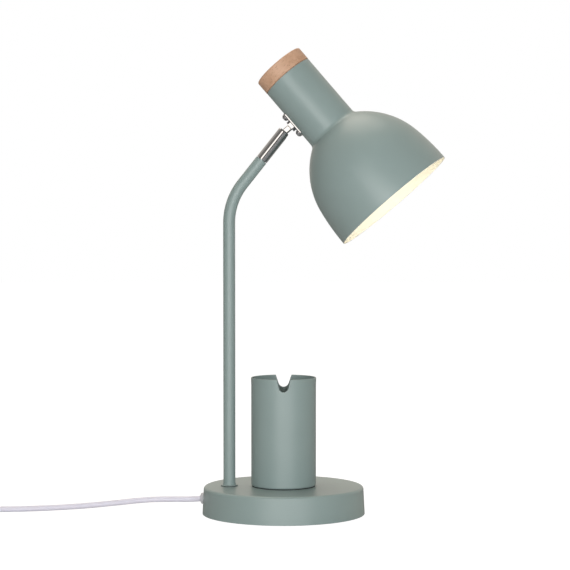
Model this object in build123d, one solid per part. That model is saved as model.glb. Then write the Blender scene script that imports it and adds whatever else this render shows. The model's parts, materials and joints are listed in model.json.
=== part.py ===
"""Desk lamp with a pen cup: weighted round base, bent tube stem, swivel joint and bell shade.

Origin: centre of the base where it stands on the desk. +X is the side the shade hangs over,
+Y is the back and +Z is up. All sizes are in millimetres and all angles in degrees.
"""
from build123d import *
from math import acos, atan2, cos, degrees, hypot, pi, radians, sin, sqrt, tan
import os

os.makedirs("parts", exist_ok=True)

# Base
BASE_TOP_DIA = 159.8
BASE_RIM_DIA = 162.6
BASE_HEIGHT = 27.9
BASE_EDGE_R = 2.8
BASE_WALL = 1.0
RIM_LIFT = 0.8
PAD_INSET = 7.3
PAD_THICK = 2.0
BOTTOM_PLATE_THICK = 1.5
BOTTOM_PLATE_GAP = 0.4
BALLAST_INSET = 8.3
BALLAST_THICK = 8.0
POST_DIA = 7.0
POST_INSET = 19.3
POST_COUNT = 3
POST_FIRST_ANGLE = 0.0
PLATE_SCREW_DIA = 4.0
PLATE_SCREW_LEN = 8.0
PLATE_SCREW_HEAD_DIA = 8.0
PLATE_SCREW_HEAD_H = 1.4

# Stem and arm, one bent tube
STEM_DIA = 12.0
STEM_WALL = 1.0
STEM_INSET = 25.6
CORNER_Z = 313.2
BEND_R = 62.0
ARM_ANGLE = 38.4
ARM_LEN = 52.2
FOOT_DIA = 17.0
FOOT_EDGE = 1.1
FOOT_HEIGHT = 3.2
FOOT_COLLAR = 0.6
STEM_STUD_LEN = 22.0
STEM_STUD_BORE = 5.2
STEM_NUT_ACROSS = 14.0
STEM_NUT_H = 4.0
STEM_WASHER_DIA = 17.0
STEM_WASHER_H = 1.0
STEM_STUD_TAIL = 2.0

# Pen cup
CUP_DIA = 64.8
CUP_HEIGHT = 109.1
CUP_WALL = 1.0
CUP_FLOOR_R = 2.2
CUP_LIP_H = 8.0
CUP_LIP_OUT = 0.5
NOTCH_WIDTH = 15.6
NOTCH_DEPTH = 12.3
NOTCH_R = 5.5
CUP_SCREW_DIA = 4.0
CUP_SCREW_X = 14.0
CUP_SCREW_HEAD_DIA = 7.6
CUP_SCREW_HEAD_H = 2.4
CUP_NUT_ACROSS = 7.0
CUP_NUT_H = 3.2
CUP_SCREW_TAIL = 1.2

# Swivel sleeve on the end of the arm
SLEEVE_DIA = 12.0
SLEEVE_LEN = 36.7
SLEEVE_END_R = 1.6
SLEEVE_REST_TURN = -6.1
SLEEVE_GAP = 0.3
SLEEVE_WALL = 1.3
SLEEVE_END_WALL = 0.8
JOURNAL_FLANGE_H = 1.8
JOURNAL_FLANGE_GAP = 0.2
JOURNAL_ROOT_LEN = 14.0
BUSH_WALL = 0.65
BUSH_BORE_GAP = 0.2
BUSH_LEN = 10.0
LEAD_BORE_DIA = 3.4
SPRING_COUNT = 4
SPRING_THICK = 0.6
SPRING_RISE = 0.5
SEAT_H = 5.0
SEAT_DROP = 2.0
PLUG_H = 4.0

# Ball stud and tilt
BALL_DIA = 6.8
BALL_GAP = 0.3
STUD_NECK_DIA = 6.4
STUD_FLAT = 5.0
STUD_THREAD_DIA = 6.0
SLOT_GAP = 0.3
HEAD_ANGLE = 40.5
TILT_UP = 25.0
TILT_DOWN = 42.0
SLOT_MARGIN = 1.5
BOSS_REACH = 11.0
BOSS_ACROSS = 10.0
BOSS_H = 2.8
STUD_NUT_ACROSS = 10.0
STUD_NUT_H = 2.5
STUD_TAIL = 0.5

# Saddle plate that carries the shade
SADDLE_LEN = 27.2
SADDLE_WIDTH = 16.0
SADDLE_THICK = 1.4
SADDLE_SCREW_PITCH = 20.6
SADDLE_SCREW_DIA = 3.2
SADDLE_HEAD_DIA = 7.0
SADDLE_HEAD_H = 2.8
BACKING_LEN = 27.0
BACKING_WIDTH = 13.0
BACKING_THICK = 2.5

# Shade: neck and bell in one spun shell
NECK_DIA = 53.6
NECK_LEN = 70.0
SHADE_LEN = 163.3
MOUTH_DIA = 131.2
BELLY_UP = 39.8
BELLY_IN = 3.4
SHADE_WALL = 1.0
NECK_FILLET_R = 6.0
NECK_TOP_R = 0.7
SEAM_UP = 39.8

# Wooden cap on the neck
CAP_OVERHANG = 0.15
CAP_HEIGHT = 14.6
CAP_TOP_R = 1.2
CAP_BOTTOM_CHAMFER = 0.5
INSERT_DIA = 7.0
INSERT_LEN = 8.5
CAP_SCREW_DIA = 4.0
CAP_SCREW_LEN = 10.0
CAP_SCREW_HEAD_DIA = 7.6
CAP_SCREW_HEAD_H = 2.4

# Lamp holder, its bracket and the bulb
HOLDER_DIA = 27.6
HOLDER_LEN = 44.0
HOLDER_DROP = 16.0
HOLDER_SHOULDER = 4.0
HOLDER_SKIRT_DEPTH = 10.0
HOLDER_SKIRT_BORE = 23.6
HOLDER_LEAD_SPACING = 8.0
HOLDER_LEAD_DEPTH = 5.0
TONGUE_WIDTH = 4.0
TONGUE_THICK = 0.8
TONGUE_RISE = 1.2
TONGUE_END_GAP = 1.0
BRACKET_THICK = 1.5
BRACKET_WIDTH = 12.0
BRACKET_GAP = 0.4
BRACKET_FOOT_BACK = 8.0
LUG_DROP = 12.0
LUG_SIZE = 9.0
LUG_ROOT = 3.0
LUG_SCREW_DIA = 3.0
LUG_SCREW_LEN = 6.0
LUG_SCREW_HEAD_DIA = 5.6
LUG_SCREW_HEAD_H = 1.9
LINER_GAP = 0.2
LINER_THICK = 0.5
LINER_LEN = 17.5
LINER_UP = 4.0
BULB_CAP_DIA = 13.8
BULB_CAP_LEN = 20.0
BULB_CAP_TAPER = 1.5
BULB_SEATED = 24.0
BULB_LEN = 78.0
BULB_GLOBE_DIA = 45.0
BULB_GLASS = 1.0
BULB_TIP_DIA = 6.0
BULB_TIP_H = 1.2
BULB_COLLAR_DIA = 38.0
BULB_COLLAR_STEP = 2.0
BULB_COLLAR_GAP = 1.0

# Supply cord, its gland and the fittings inside the base
CORD_DIA = 5.6
GLAND_Z = 15.4
GLAND_DIA = 11.2
GLAND_NECK_DIA = 7.8
GLAND_PROUD = 3.4
GLAND_NOSE_DIA = 7.2
GLAND_FLANGE = 1.6
GLAND_SHOULDER = 0.6
LEAD_DIA = 2.5
LEAD_BEND_R = 6.0
LEAD_LIFT = 1.0
LEAD_RUN = 10.0
LEAD_CROSSING = 4.0
INNER_BEND_R = 7.0
INNER_RUN = 5.0
INNER_END_RUN = 9.0
HEAD_LEAD_OVER = 8.5
HEAD_LEAD_IN = 6.0
HEAD_LEAD_SHIFT = 0.3
HEAD_LEAD_RADII = [2.6, 4.5, 3.5]
LEAD_TOP_GAP = 0.5
CLAMP_LEN = 8.0
CLAMP_WIDTH = 19.0
CLAMP_TOP_WALL = 1.4
CLAMP_GAP = 3.4
CLAMP_SCREW_Y = 6.85
CLAMP_SCREW_DIA = 3.0
CLAMP_SCREW_HEAD_DIA = 5.6
CLAMP_SCREW_HEAD_H = 1.6
BLOCK_LEN = 20.0
BLOCK_WIDTH = 16.0
BLOCK_H = 12.0
BLOCK_X = -30.0
BLOCK_Y = -22.0
BLOCK_WIRE_UP = 5.0
BLOCK_EDGE_R = 1.5

# In-line rocker switch on the cord; its tapered strain reliefs and the plug's are the same
SWITCH_LEN = 58.0
SWITCH_WIDTH = 25.0
SWITCH_HEIGHT = 17.8
SWITCH_CORNER_R = 9.0
SWITCH_EDGE_R = 2.5
RELIEF_LEN = 20.0
RELIEF_DIA = 9.6
RELIEF_END_DIA = 7.2
SWITCH_X = -381.0
SWITCH_Y = 7.0
ROCKER_LEN = 17.0
ROCKER_WIDTH = 10.4
ROCKER_DEPTH = 7.0
ROCKER_RISE = 2.6
ROCKER_THROW = 18.0
ROCKER_GAP = 0.5
ROCKER_PIVOT_DROP = 3.2
ROCKER_PIN_DIA = 2.4
ROCKER_PIN_LEN = 14.0
ROCKER_POCKET_FLOOR = 5.9
ROCKER_CROWN = 0.4
ROCKER_KEEL = 1.0
ROCKER_END_SLOPE = 0.4
SWITCH_SCREW_DIA = 2.6
SWITCH_SCREW_TAIL = 3.0
SWITCH_SCREW_HEAD_DIA = 5.0
SWITCH_SCREW_HEAD_H = 1.6
SWITCH_SCREW_SINK = 3.0
SWITCH_SCREW_SPACING = 41.0
CONTACT_THICK = 0.6
CONTACT_WIDTH = 6.0
CONTACT_LEN = 3.0
CONTACT_SPACING = 10.0

# Coil of stored cord, its tail and the plug
COIL_TURNS = 6.5
COIL_MEAN_R = 33.0
COIL_GAP = 0.5
TIE_WIDTH = 12.0
TIE_THICK = 0.6
TIE_GAP = 0.3
PLUG_BODY_LEN = 36.0
PLUG_WIDTH = 35.3
PLUG_REAR_WIDTH = 16.0
PLUG_THICK = 13.7
PLUG_FRONT_LEN = 9.0
PLUG_EDGE_R = 2.4
PLUG_FRONT_TAPER = 1.5
PIN_DIA = 4.0
PIN_LEN = 19.0
PIN_SPACING = 19.0
PIN_ROOT = 6.0
PIN_ROOT_DIA = 3.4
PIN_END_R = 1.4

# Clearance between pieces that slip together by hand, and the least radius inside a pressed shell
FIT = 0.1
INNER_EDGE_R = 0.3

# Heights and places that follow from the sizes above
plate_low = PAD_THICK
plate_high = plate_low + BOTTOM_PLATE_THICK
ballast_top = plate_high + BALLAST_THICK
top_under = BASE_HEIGHT - BASE_WALL
stem_x = STEM_INSET - BASE_TOP_DIA / 2
side_slope = (BASE_TOP_DIA - BASE_RIM_DIA) / 2 / (BASE_HEIGHT - RIM_LIFT)
gland_wall_x = -BASE_RIM_DIA / 2 - side_slope * (GLAND_Z - RIM_LIFT)
gland_nose_x = gland_wall_x - GLAND_PROUD
gland_inner_x = gland_wall_x + BASE_WALL + GLAND_FLANGE
stem_r = STEM_DIA / 2
stem_bore_r = stem_r - STEM_WALL
neck_r = NECK_DIA / 2
ball_r = BALL_DIA / 2
sleeve_bore_r = SLEEVE_DIA / 2 - SLEEVE_WALL
fitted_dia = 2 * sleeve_bore_r - FIT
journal_dia = fitted_dia - 2 * (BUSH_WALL + BUSH_BORE_GAP)
ball_up = SLEEVE_LEN - SLEEVE_END_WALL - BALL_GAP - ball_r
saddle_face = BOSS_REACH + BOSS_H
neck_axis_out = saddle_face + SADDLE_THICK + neck_r
rest_tilt = 90.0 - ARM_ANGLE - HEAD_ANGLE
cord_r = CORD_DIA / 2
coil_low = TIE_THICK + TIE_GAP
coil_pitch = CORD_DIA + COIL_GAP
liner_bore = BULB_CAP_DIA + 2 * LINER_GAP
lead_r = LEAD_DIA / 2

# Frames of the arm, the sleeve, the ball and the shade
corner_frame = Pos(stem_x, 0, CORNER_Z) * Rot(0, ARM_ANGLE, 0)
sleeve_frame = corner_frame * Pos(0, 0, ARM_LEN) * Rot(0, 0, SLEEVE_REST_TURN)
ball_frame = sleeve_frame * Pos(0, 0, ball_up) * Rot(0, -ARM_ANGLE - HEAD_ANGLE, 0)
shade_frame = ball_frame * Pos(neck_axis_out, 0, SEAM_UP)
along_x = Rot(0, 90, 0)

nodes = {}


def disc(dia, low, high):
    """Upright cylinder on the Z axis between two heights."""
    return Pos(0, 0, low) * Cylinder(dia / 2, high - low, align=(Align.CENTER, Align.CENTER, Align.MIN))


def ring(outer, inner, low, high):
    """Upright tube on the Z axis between two heights."""
    return disc(outer, low, high) - disc(inner, low, high)


def hexagon(across, low, high):
    """Upright hexagonal prism, sized across its flats."""
    return Pos(0, 0, low) * extrude(RegularPolygon(across / 2, 6, major_radius=False), high - low)


def turned(*points):
    """Solid turned about the Z axis from an outline of (radius, height) points."""
    return revolve(Plane.XZ * make_face(Polyline(*points, close=True)), Axis.Z)


def block(x, y, z):
    """Box between pairs of limits along X, Y and Z."""
    size = [high - low for low, high in (x, y, z)]
    middle = [(high + low) / 2 for low, high in (x, y, z)]
    return Pos(*middle) * Box(*size)


def rim_edge(solid, height, radius=None):
    """Circular edge of a turned solid at a height: the widest, or the one nearest a radius."""
    level = [e for e in solid.edges().filter_by(GeomType.CIRCLE) if abs(e.center().Z - height) < 1e-4]
    if radius is None:
        return max(level, key=lambda edge: edge.radius)
    return min(level, key=lambda edge: abs(edge.radius - radius))


def pan_screw(dia, length, head_dia, head_h):
    """Screw with a domed head: the head stands on Z = 0 and the shank runs down from it."""
    crown = (head_dia ** 2 / 4 + head_h ** 2) / (2 * head_h)
    head = Pos(0, 0, head_h - crown) * Sphere(crown) & disc(head_dia, 0, head_h)
    return head + disc(dia, -length, FIT)


def group(solids):
    """One node of several separate solids."""
    return Compound(children=[solid for part in solids for solid in part.solids()])


def tube_path(points, radii):
    """Path of straight runs joined by tangent arcs."""
    return FilletPolyline(*points, radius=radii)


def swept(path, dia):
    """Round rod of a diameter along a path."""
    return sweep(Plane(path @ 0, z_dir=path % 0) * Circle(dia / 2), path=path)


def post_places():
    """Places of the base's screw posts."""
    return [Rot(0, 0, POST_FIRST_ANGLE + i * 360 / POST_COUNT) * Pos(BASE_RIM_DIA / 2 - POST_INSET, 0, 0)
            for i in range(POST_COUNT)]


# Base
def cover_form(inset):
    """Solid inside the base cover's skin, drawn in by inset on its side and its top."""
    top_r, rim_r, top = BASE_TOP_DIA / 2 - inset, BASE_RIM_DIA / 2 - inset, BASE_HEIGHT - inset
    form = turned((0, RIM_LIFT), (rim_r, RIM_LIFT), (top_r, top), (0, top))
    return fillet(rim_edge(form, top), max(BASE_EDGE_R - inset, INNER_EDGE_R))


def base_cover():
    """Spun steel cover with holes for the stem, the cup and the cord gland."""
    shell = cover_form(0) - cover_form(BASE_WALL)
    shell -= Pos(stem_x, 0, 0) * disc(2 * stem_bore_r + FIT, top_under - 1, BASE_HEIGHT + 1)
    for x in (-CUP_SCREW_X, CUP_SCREW_X):
        shell -= Pos(x, 0, 0) * disc(CUP_SCREW_DIA + 2 * FIT, top_under - 1, BASE_HEIGHT + 1)
    return shell - Pos(0, 0, GLAND_Z) * along_x * disc(GLAND_NECK_DIA + 2 * FIT, gland_nose_x, gland_inner_x)


def base_inside():
    """Posts, ballast, bottom plate, foot pad and the plate's screws."""
    posts, screws = [], []
    ballast = disc(BASE_RIM_DIA - 2 * BALLAST_INSET, plate_high, ballast_top)
    plate = disc(BASE_RIM_DIA - 2 * BASE_WALL - 2 * BOTTOM_PLATE_GAP, plate_low, plate_high)
    pad = disc(BASE_RIM_DIA - 2 * PAD_INSET, 0, PAD_THICK)
    for place in post_places():
        thread = disc(PLATE_SCREW_DIA, plate_high, plate_high + PLATE_SCREW_LEN)
        posts.append(place * (disc(POST_DIA, plate_high, top_under) - thread))
        ballast -= place * disc(POST_DIA + 10 * FIT, 0, BASE_HEIGHT)
        plate -= place * disc(PLATE_SCREW_DIA + 2 * FIT, 0, BASE_HEIGHT)
        pad -= place * disc(PLATE_SCREW_HEAD_DIA + 10 * FIT, 0, BASE_HEIGHT)
        screw = pan_screw(PLATE_SCREW_DIA, PLATE_SCREW_LEN, PLATE_SCREW_HEAD_DIA, PLATE_SCREW_HEAD_H)
        screws.append(place * Pos(0, 0, plate_low) * Rot(180, 0, 0) * screw)
    nodes["base_posts"] = group(posts)
    nodes["ballast_disc"] = ballast
    nodes["bottom_plate"] = plate
    nodes["foot_pad"] = pad
    nodes["bottom_plate_screws"] = group(screws)


# Stem
def stem():
    """Bent stem tube, its foot flange and the stud, washer and nut that hold it to the base."""
    corner = (stem_x, 0, CORNER_Z)
    arm_end = corner_frame * Pos(0, 0, ARM_LEN)
    path = tube_path([(stem_x, 0, BASE_HEIGHT), corner, tuple(arm_end.position)], BEND_R)
    nodes["stem_tube"] = swept(path, STEM_DIA) - swept(path, 2 * stem_bore_r)

    foot_r, collar_r = FOOT_DIA / 2, stem_r + FOOT_COLLAR
    flange = disc(FOOT_DIA, 0, FOOT_EDGE) + disc(2 * collar_r, 0, FOOT_HEIGHT)
    sweep_r = 0.85 * min(FOOT_HEIGHT - FOOT_EDGE, foot_r - collar_r)
    flange = fillet(rim_edge(flange, FOOT_EDGE, collar_r), sweep_r)
    flange = fillet(rim_edge(flange, FOOT_EDGE), FOOT_EDGE * 0.45)
    nodes["stem_foot"] = Pos(stem_x, 0, BASE_HEIGHT) * (flange - disc(STEM_DIA + FIT, 0, FOOT_HEIGHT))

    washer_low = top_under - STEM_WASHER_H
    nut_low = washer_low - STEM_NUT_H
    stud_dia = 2 * stem_bore_r - FIT
    stud = ring(stud_dia, STEM_STUD_BORE, nut_low - STEM_STUD_TAIL, BASE_HEIGHT + STEM_STUD_LEN)
    nodes["stem_stud"] = Pos(stem_x, 0, 0) * stud
    nodes["stem_washer"] = Pos(stem_x, 0, 0) * ring(STEM_WASHER_DIA, stud_dia + FIT, washer_low, top_under)
    nut = hexagon(STEM_NUT_ACROSS, nut_low, washer_low) - disc(stud_dia, 0, BASE_HEIGHT)
    nodes["stem_nut"] = Pos(stem_x, 0, 0) * nut


# Pen cup
def cup_form(inset, low, high):
    """Solid inside the cup's skin, drawn in by inset, between two heights; the lip flares to the top."""
    body_r, lip_low = CUP_DIA / 2 - inset, BASE_HEIGHT + CUP_HEIGHT - CUP_LIP_H
    high_r = body_r + CUP_LIP_OUT * (high - lip_low) / CUP_LIP_H
    form = turned((0, low), (body_r, low), (body_r, lip_low), (high_r, high), (0, high))
    return fillet(rim_edge(form, low), max(CUP_FLOOR_R - inset, INNER_EDGE_R))


def notch_cut():
    """Cutter for the pen notches, right through both walls along Y."""
    half, rise = NOTCH_WIDTH / 2, NOTCH_DEPTH - NOTCH_R
    touch = radians(degrees(atan2(rise, half)) - degrees(acos(NOTCH_R / hypot(half, rise))))
    side = (NOTCH_R * cos(touch), NOTCH_R * sin(touch))
    wedge = Polyline((-half, rise), (-side[0], side[1]), side, (half, rise), (half, rise + 2),
                     (-half, rise + 2), close=True)
    profile = make_face(wedge) + Circle(NOTCH_R)
    centre_z = BASE_HEIGHT + CUP_HEIGHT - rise
    return Pos(0, 0, centre_z) * extrude(Plane.XZ * profile, CUP_DIA, both=True)


def pen_cup():
    """Drawn steel cup with a notch at the front and back of its rim, and its fixing screws."""
    floor_top, rim = BASE_HEIGHT + CUP_WALL, BASE_HEIGHT + CUP_HEIGHT
    cup = cup_form(0, BASE_HEIGHT, rim) - cup_form(CUP_WALL, floor_top, rim + 1) - notch_cut()
    nut_low = top_under - CUP_NUT_H
    screw_len = floor_top - nut_low + CUP_SCREW_TAIL
    screws, nuts = [], []
    for x in (-CUP_SCREW_X, CUP_SCREW_X):
        cup -= Pos(x, 0, 0) * disc(CUP_SCREW_DIA + 2 * FIT, 0, floor_top + 1)
        screw = pan_screw(CUP_SCREW_DIA, screw_len, CUP_SCREW_HEAD_DIA, CUP_SCREW_HEAD_H)
        screws.append(Pos(x, 0, floor_top) * screw)
        nuts.append(Pos(x, 0, 0) * (hexagon(CUP_NUT_ACROSS, nut_low, top_under)
                                    - disc(CUP_SCREW_DIA, 0, BASE_HEIGHT)))
    nodes["pen_cup"] = cup
    nodes["cup_screws"] = group(screws)
    nodes["cup_nuts"] = group(nuts)


# Swivel sleeve
def swivel():
    """Journal in the arm's end, and the sleeve that turns on it with its bush, springs and seat."""
    flange_low = BUSH_LEN + SLEEVE_GAP + JOURNAL_FLANGE_GAP
    top = flange_low + JOURNAL_FLANGE_H
    journal = disc(2 * stem_bore_r - FIT, -JOURNAL_ROOT_LEN, 0) + disc(journal_dia, -1, top)
    journal += disc(2 * sleeve_bore_r - 2 * SLEEVE_GAP, flange_low, top)
    nodes["arm_journal"] = corner_frame * Pos(0, 0, ARM_LEN) * (journal - disc(LEAD_BORE_DIA, -20, top + 1))

    sleeve = disc(SLEEVE_DIA, SLEEVE_GAP, SLEEVE_LEN)
    sleeve = fillet(rim_edge(sleeve, SLEEVE_LEN), SLEEVE_END_R)
    sleeve -= disc(2 * sleeve_bore_r, 0, ball_up) + Pos(0, 0, ball_up) * Sphere(ball_r + BALL_GAP)
    lowest, highest = rest_tilt - TILT_UP - SLOT_MARGIN, rest_tilt + TILT_DOWN + SLOT_MARGIN
    reach = 2 * SLEEVE_DIA
    rays = [radians(a) for a in (lowest, (lowest + highest) / 2, highest)]
    fan = make_face(Polyline((0, 0), *[(reach * sin(a), reach * cos(a)) for a in rays], close=True))
    fan = offset(fan, STUD_NECK_DIA / 2 + SLOT_GAP)
    sleeve -= Pos(0, 0, ball_up) * extrude(Plane.XZ * fan, STUD_FLAT / 2 + SLOT_GAP, both=True)
    nodes["swivel_sleeve"] = sleeve_frame * sleeve

    bush = ring(fitted_dia, journal_dia + 2 * BUSH_BORE_GAP, SLEEVE_GAP, SLEEVE_GAP + BUSH_LEN)
    nodes["sleeve_bush"] = sleeve_frame * bush
    seat_high = ball_up - SEAT_DROP
    seat_low = seat_high - SEAT_H
    seat = ring(fitted_dia, LEAD_BORE_DIA, seat_low, seat_high) - Pos(0, 0, ball_up) * Sphere(ball_r + FIT)
    nodes["ball_seat"] = sleeve_frame * seat
    step = SPRING_THICK + SPRING_RISE
    springs = []
    for i in range(SPRING_COUNT):
        base = seat_low - (i + 1) * step
        lift_in, lift_out = (SPRING_RISE, 0) if i % 2 else (0, SPRING_RISE)
        inner, outer = LEAD_BORE_DIA / 2 + FIT, fitted_dia / 2 - FIT
        springs.append(sleeve_frame * turned(
            (inner, base + lift_in), (outer, base + lift_out), (outer, base + lift_out + SPRING_THICK),
            (inner, base + lift_in + SPRING_THICK)))
    nodes["spring_washers"] = group(springs)
    plug_high = seat_low - SPRING_COUNT * step
    nodes["spring_plug"] = sleeve_frame * ring(fitted_dia, LEAD_BORE_DIA, plug_high - PLUG_H, plug_high)


# Ball stud and the saddle that carries the shade, in the ball's frame with X towards the shade
def tilting_mount():
    """Hollow ball stud, hexagon boss, saddle plate, backing bar, nut and the two saddle screws."""
    backing_face = saddle_face + SADDLE_THICK + SHADE_WALL + BACKING_THICK
    stud_end = backing_face + STUD_NUT_H + STUD_TAIL
    neck = along_x * disc(STUD_NECK_DIA, 0, BOSS_REACH) & block((0, BOSS_REACH), (-STUD_FLAT / 2, STUD_FLAT / 2),
                                                              (-STUD_NECK_DIA, STUD_NECK_DIA))
    stud = Sphere(ball_r) + neck + along_x * disc(STUD_THREAD_DIA, BOSS_REACH - 1, stud_end)
    nodes["ball_stud"] = ball_frame * (stud - along_x * disc(LEAD_BORE_DIA, -2 * ball_r, stud_end + 1))

    def about_neck(dia):
        """Cylinder about the shade's neck axis, longer than the saddle."""
        return Pos(neck_axis_out, 0, 0) * disc(dia, -SADDLE_LEN, SADDLE_LEN)

    saddle_outer = about_neck(NECK_DIA + 2 * SADDLE_THICK)
    outline = Plane.YZ * Rot(0, 0, 90) * SlotOverall(SADDLE_LEN, SADDLE_WIDTH)
    saddle = extrude(outline, neck_axis_out) & (saddle_outer - about_neck(NECK_DIA))
    bored = along_x * disc(STUD_THREAD_DIA + 2 * FIT, 0, neck_axis_out)
    boss = along_x * hexagon(BOSS_ACROSS, BOSS_REACH, saddle_face + SADDLE_THICK) - saddle_outer
    backing = block((saddle_face, backing_face), (-BACKING_WIDTH / 2, BACKING_WIDTH / 2),
                    (-BACKING_LEN / 2, BACKING_LEN / 2)) & about_neck(NECK_DIA - 2 * SHADE_WALL - FIT)
    nut = along_x * (hexagon(STUD_NUT_ACROSS, backing_face, backing_face + STUD_NUT_H)
                     - disc(STUD_THREAD_DIA, 0, stud_end))
    screws = []
    for z in (-SADDLE_SCREW_PITCH / 2, SADDLE_SCREW_PITCH / 2):
        screw_len = backing_face - saddle_face + FIT
        screw = pan_screw(SADDLE_SCREW_DIA, screw_len, SADDLE_HEAD_DIA, SADDLE_HEAD_H)
        seated = Pos(saddle_face, 0, z) * Rot(0, -90, 0) * (screw + disc(SADDLE_HEAD_DIA, -SADDLE_THICK, 0))
        shank = Pos(saddle_face, 0, z) * Rot(0, -90, 0) * disc(SADDLE_SCREW_DIA, -screw_len, 0)
        screws.append(ball_frame * (seated - saddle_outer + shank))
        hole = Pos(0, 0, z) * along_x * disc(SADDLE_SCREW_DIA, 0, neck_axis_out)
        saddle -= hole
        backing -= hole
    nodes["stud_boss"] = ball_frame * (boss - along_x * disc(STUD_THREAD_DIA, 0, neck_axis_out))
    nodes["saddle_plate"] = ball_frame * (saddle - bored)
    nodes["backing_bar"] = ball_frame * (backing - bored)
    nodes["stud_nut"] = ball_frame * nut
    nodes["saddle_screws"] = group(screws)


# Shade, in its own frame: Z = 0 is the seam under the wooden cap and the mouth is at the bottom
def shade_form(inset, top):
    """Solid inside the shade's skin, drawn in by inset: two tangent arcs and the straight neck."""
    mouth_r, belly_r = MOUTH_DIA / 2, MOUTH_DIA / 2 - BELLY_IN
    lower_r = (BELLY_UP ** 2 + (mouth_r - belly_r) ** 2) / (2 * (mouth_r - belly_r))
    turn = atan2(BELLY_UP, lower_r - (mouth_r - belly_r))
    normal = (cos(turn), sin(turn))
    belly_z = BELLY_UP - SHADE_LEN
    chord = (neck_r - belly_r, -NECK_LEN - belly_z)
    upper_r = -(chord[0] ** 2 + chord[1] ** 2) / (2 * (chord[0] * normal[0] + chord[1] * normal[1]))
    centre = (belly_r - upper_r * normal[0], belly_z - upper_r * normal[1])
    belly = (belly_r - inset * normal[0], belly_z - inset * normal[1])
    side_r = neck_r - inset
    joint = (side_r, centre[1] + sqrt((upper_r - inset) ** 2 - (side_r - centre[0]) ** 2))
    lower = TangentArc((mouth_r - inset, -SHADE_LEN), belly, tangent=(0, 1))
    upper = TangentArc(belly, joint, tangent=lower % 1)
    rest = Polyline(joint, (side_r, top), (0, top), (0, -SHADE_LEN), (mouth_r - inset, -SHADE_LEN))
    face = make_face(lower + upper + rest)
    corner = face.vertices().sort_by_distance((joint[0], joint[1], 0))[0]
    return revolve(Plane.XZ * fillet(corner, NECK_FILLET_R + inset), Axis.Z)


def shade_holes():
    """Cutters for the stud and the saddle screws in the neck, in the shade's frame."""
    holes = along_x * disc(STUD_THREAD_DIA + 2 * FIT, 0, neck_axis_out - BACKING_THICK)
    for z in (-SADDLE_SCREW_PITCH / 2, SADDLE_SCREW_PITCH / 2):
        holes += Pos(0, 0, z) * along_x * disc(SADDLE_SCREW_DIA + 2 * FIT, 0, neck_axis_out - BACKING_THICK)
    return Pos(-neck_axis_out, 0, -SEAM_UP) * holes


def shade_and_cap():
    """Spun shade, wooden cap, its threaded insert and the screw that holds cap and bracket."""
    outer = shade_form(0, 0)
    outer = fillet(rim_edge(outer, 0), NECK_TOP_R)
    shade = outer - shade_form(SHADE_WALL, -SHADE_WALL) - shade_holes()
    shade -= disc(CAP_SCREW_DIA + 2 * FIT, -5, 1)
    nodes["shade"] = shade_frame * shade

    cap = disc(NECK_DIA + 2 * CAP_OVERHANG, 0, CAP_HEIGHT)
    cap = fillet(rim_edge(cap, CAP_HEIGHT), CAP_TOP_R)
    cap = chamfer(rim_edge(cap, 0), CAP_BOTTOM_CHAMFER)
    nodes["wood_cap"] = shade_frame * (cap - disc(INSERT_DIA, 0, INSERT_LEN + 1))
    nodes["cap_insert"] = shade_frame * ring(INSERT_DIA, CAP_SCREW_DIA, 0, INSERT_LEN)
    screw = Rot(180, 0, 0) * pan_screw(CAP_SCREW_DIA, CAP_SCREW_LEN, CAP_SCREW_HEAD_DIA, CAP_SCREW_HEAD_H)
    nodes["cap_screw"] = shade_frame * Pos(0, 0, -SHADE_WALL - BRACKET_THICK) * screw


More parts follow.
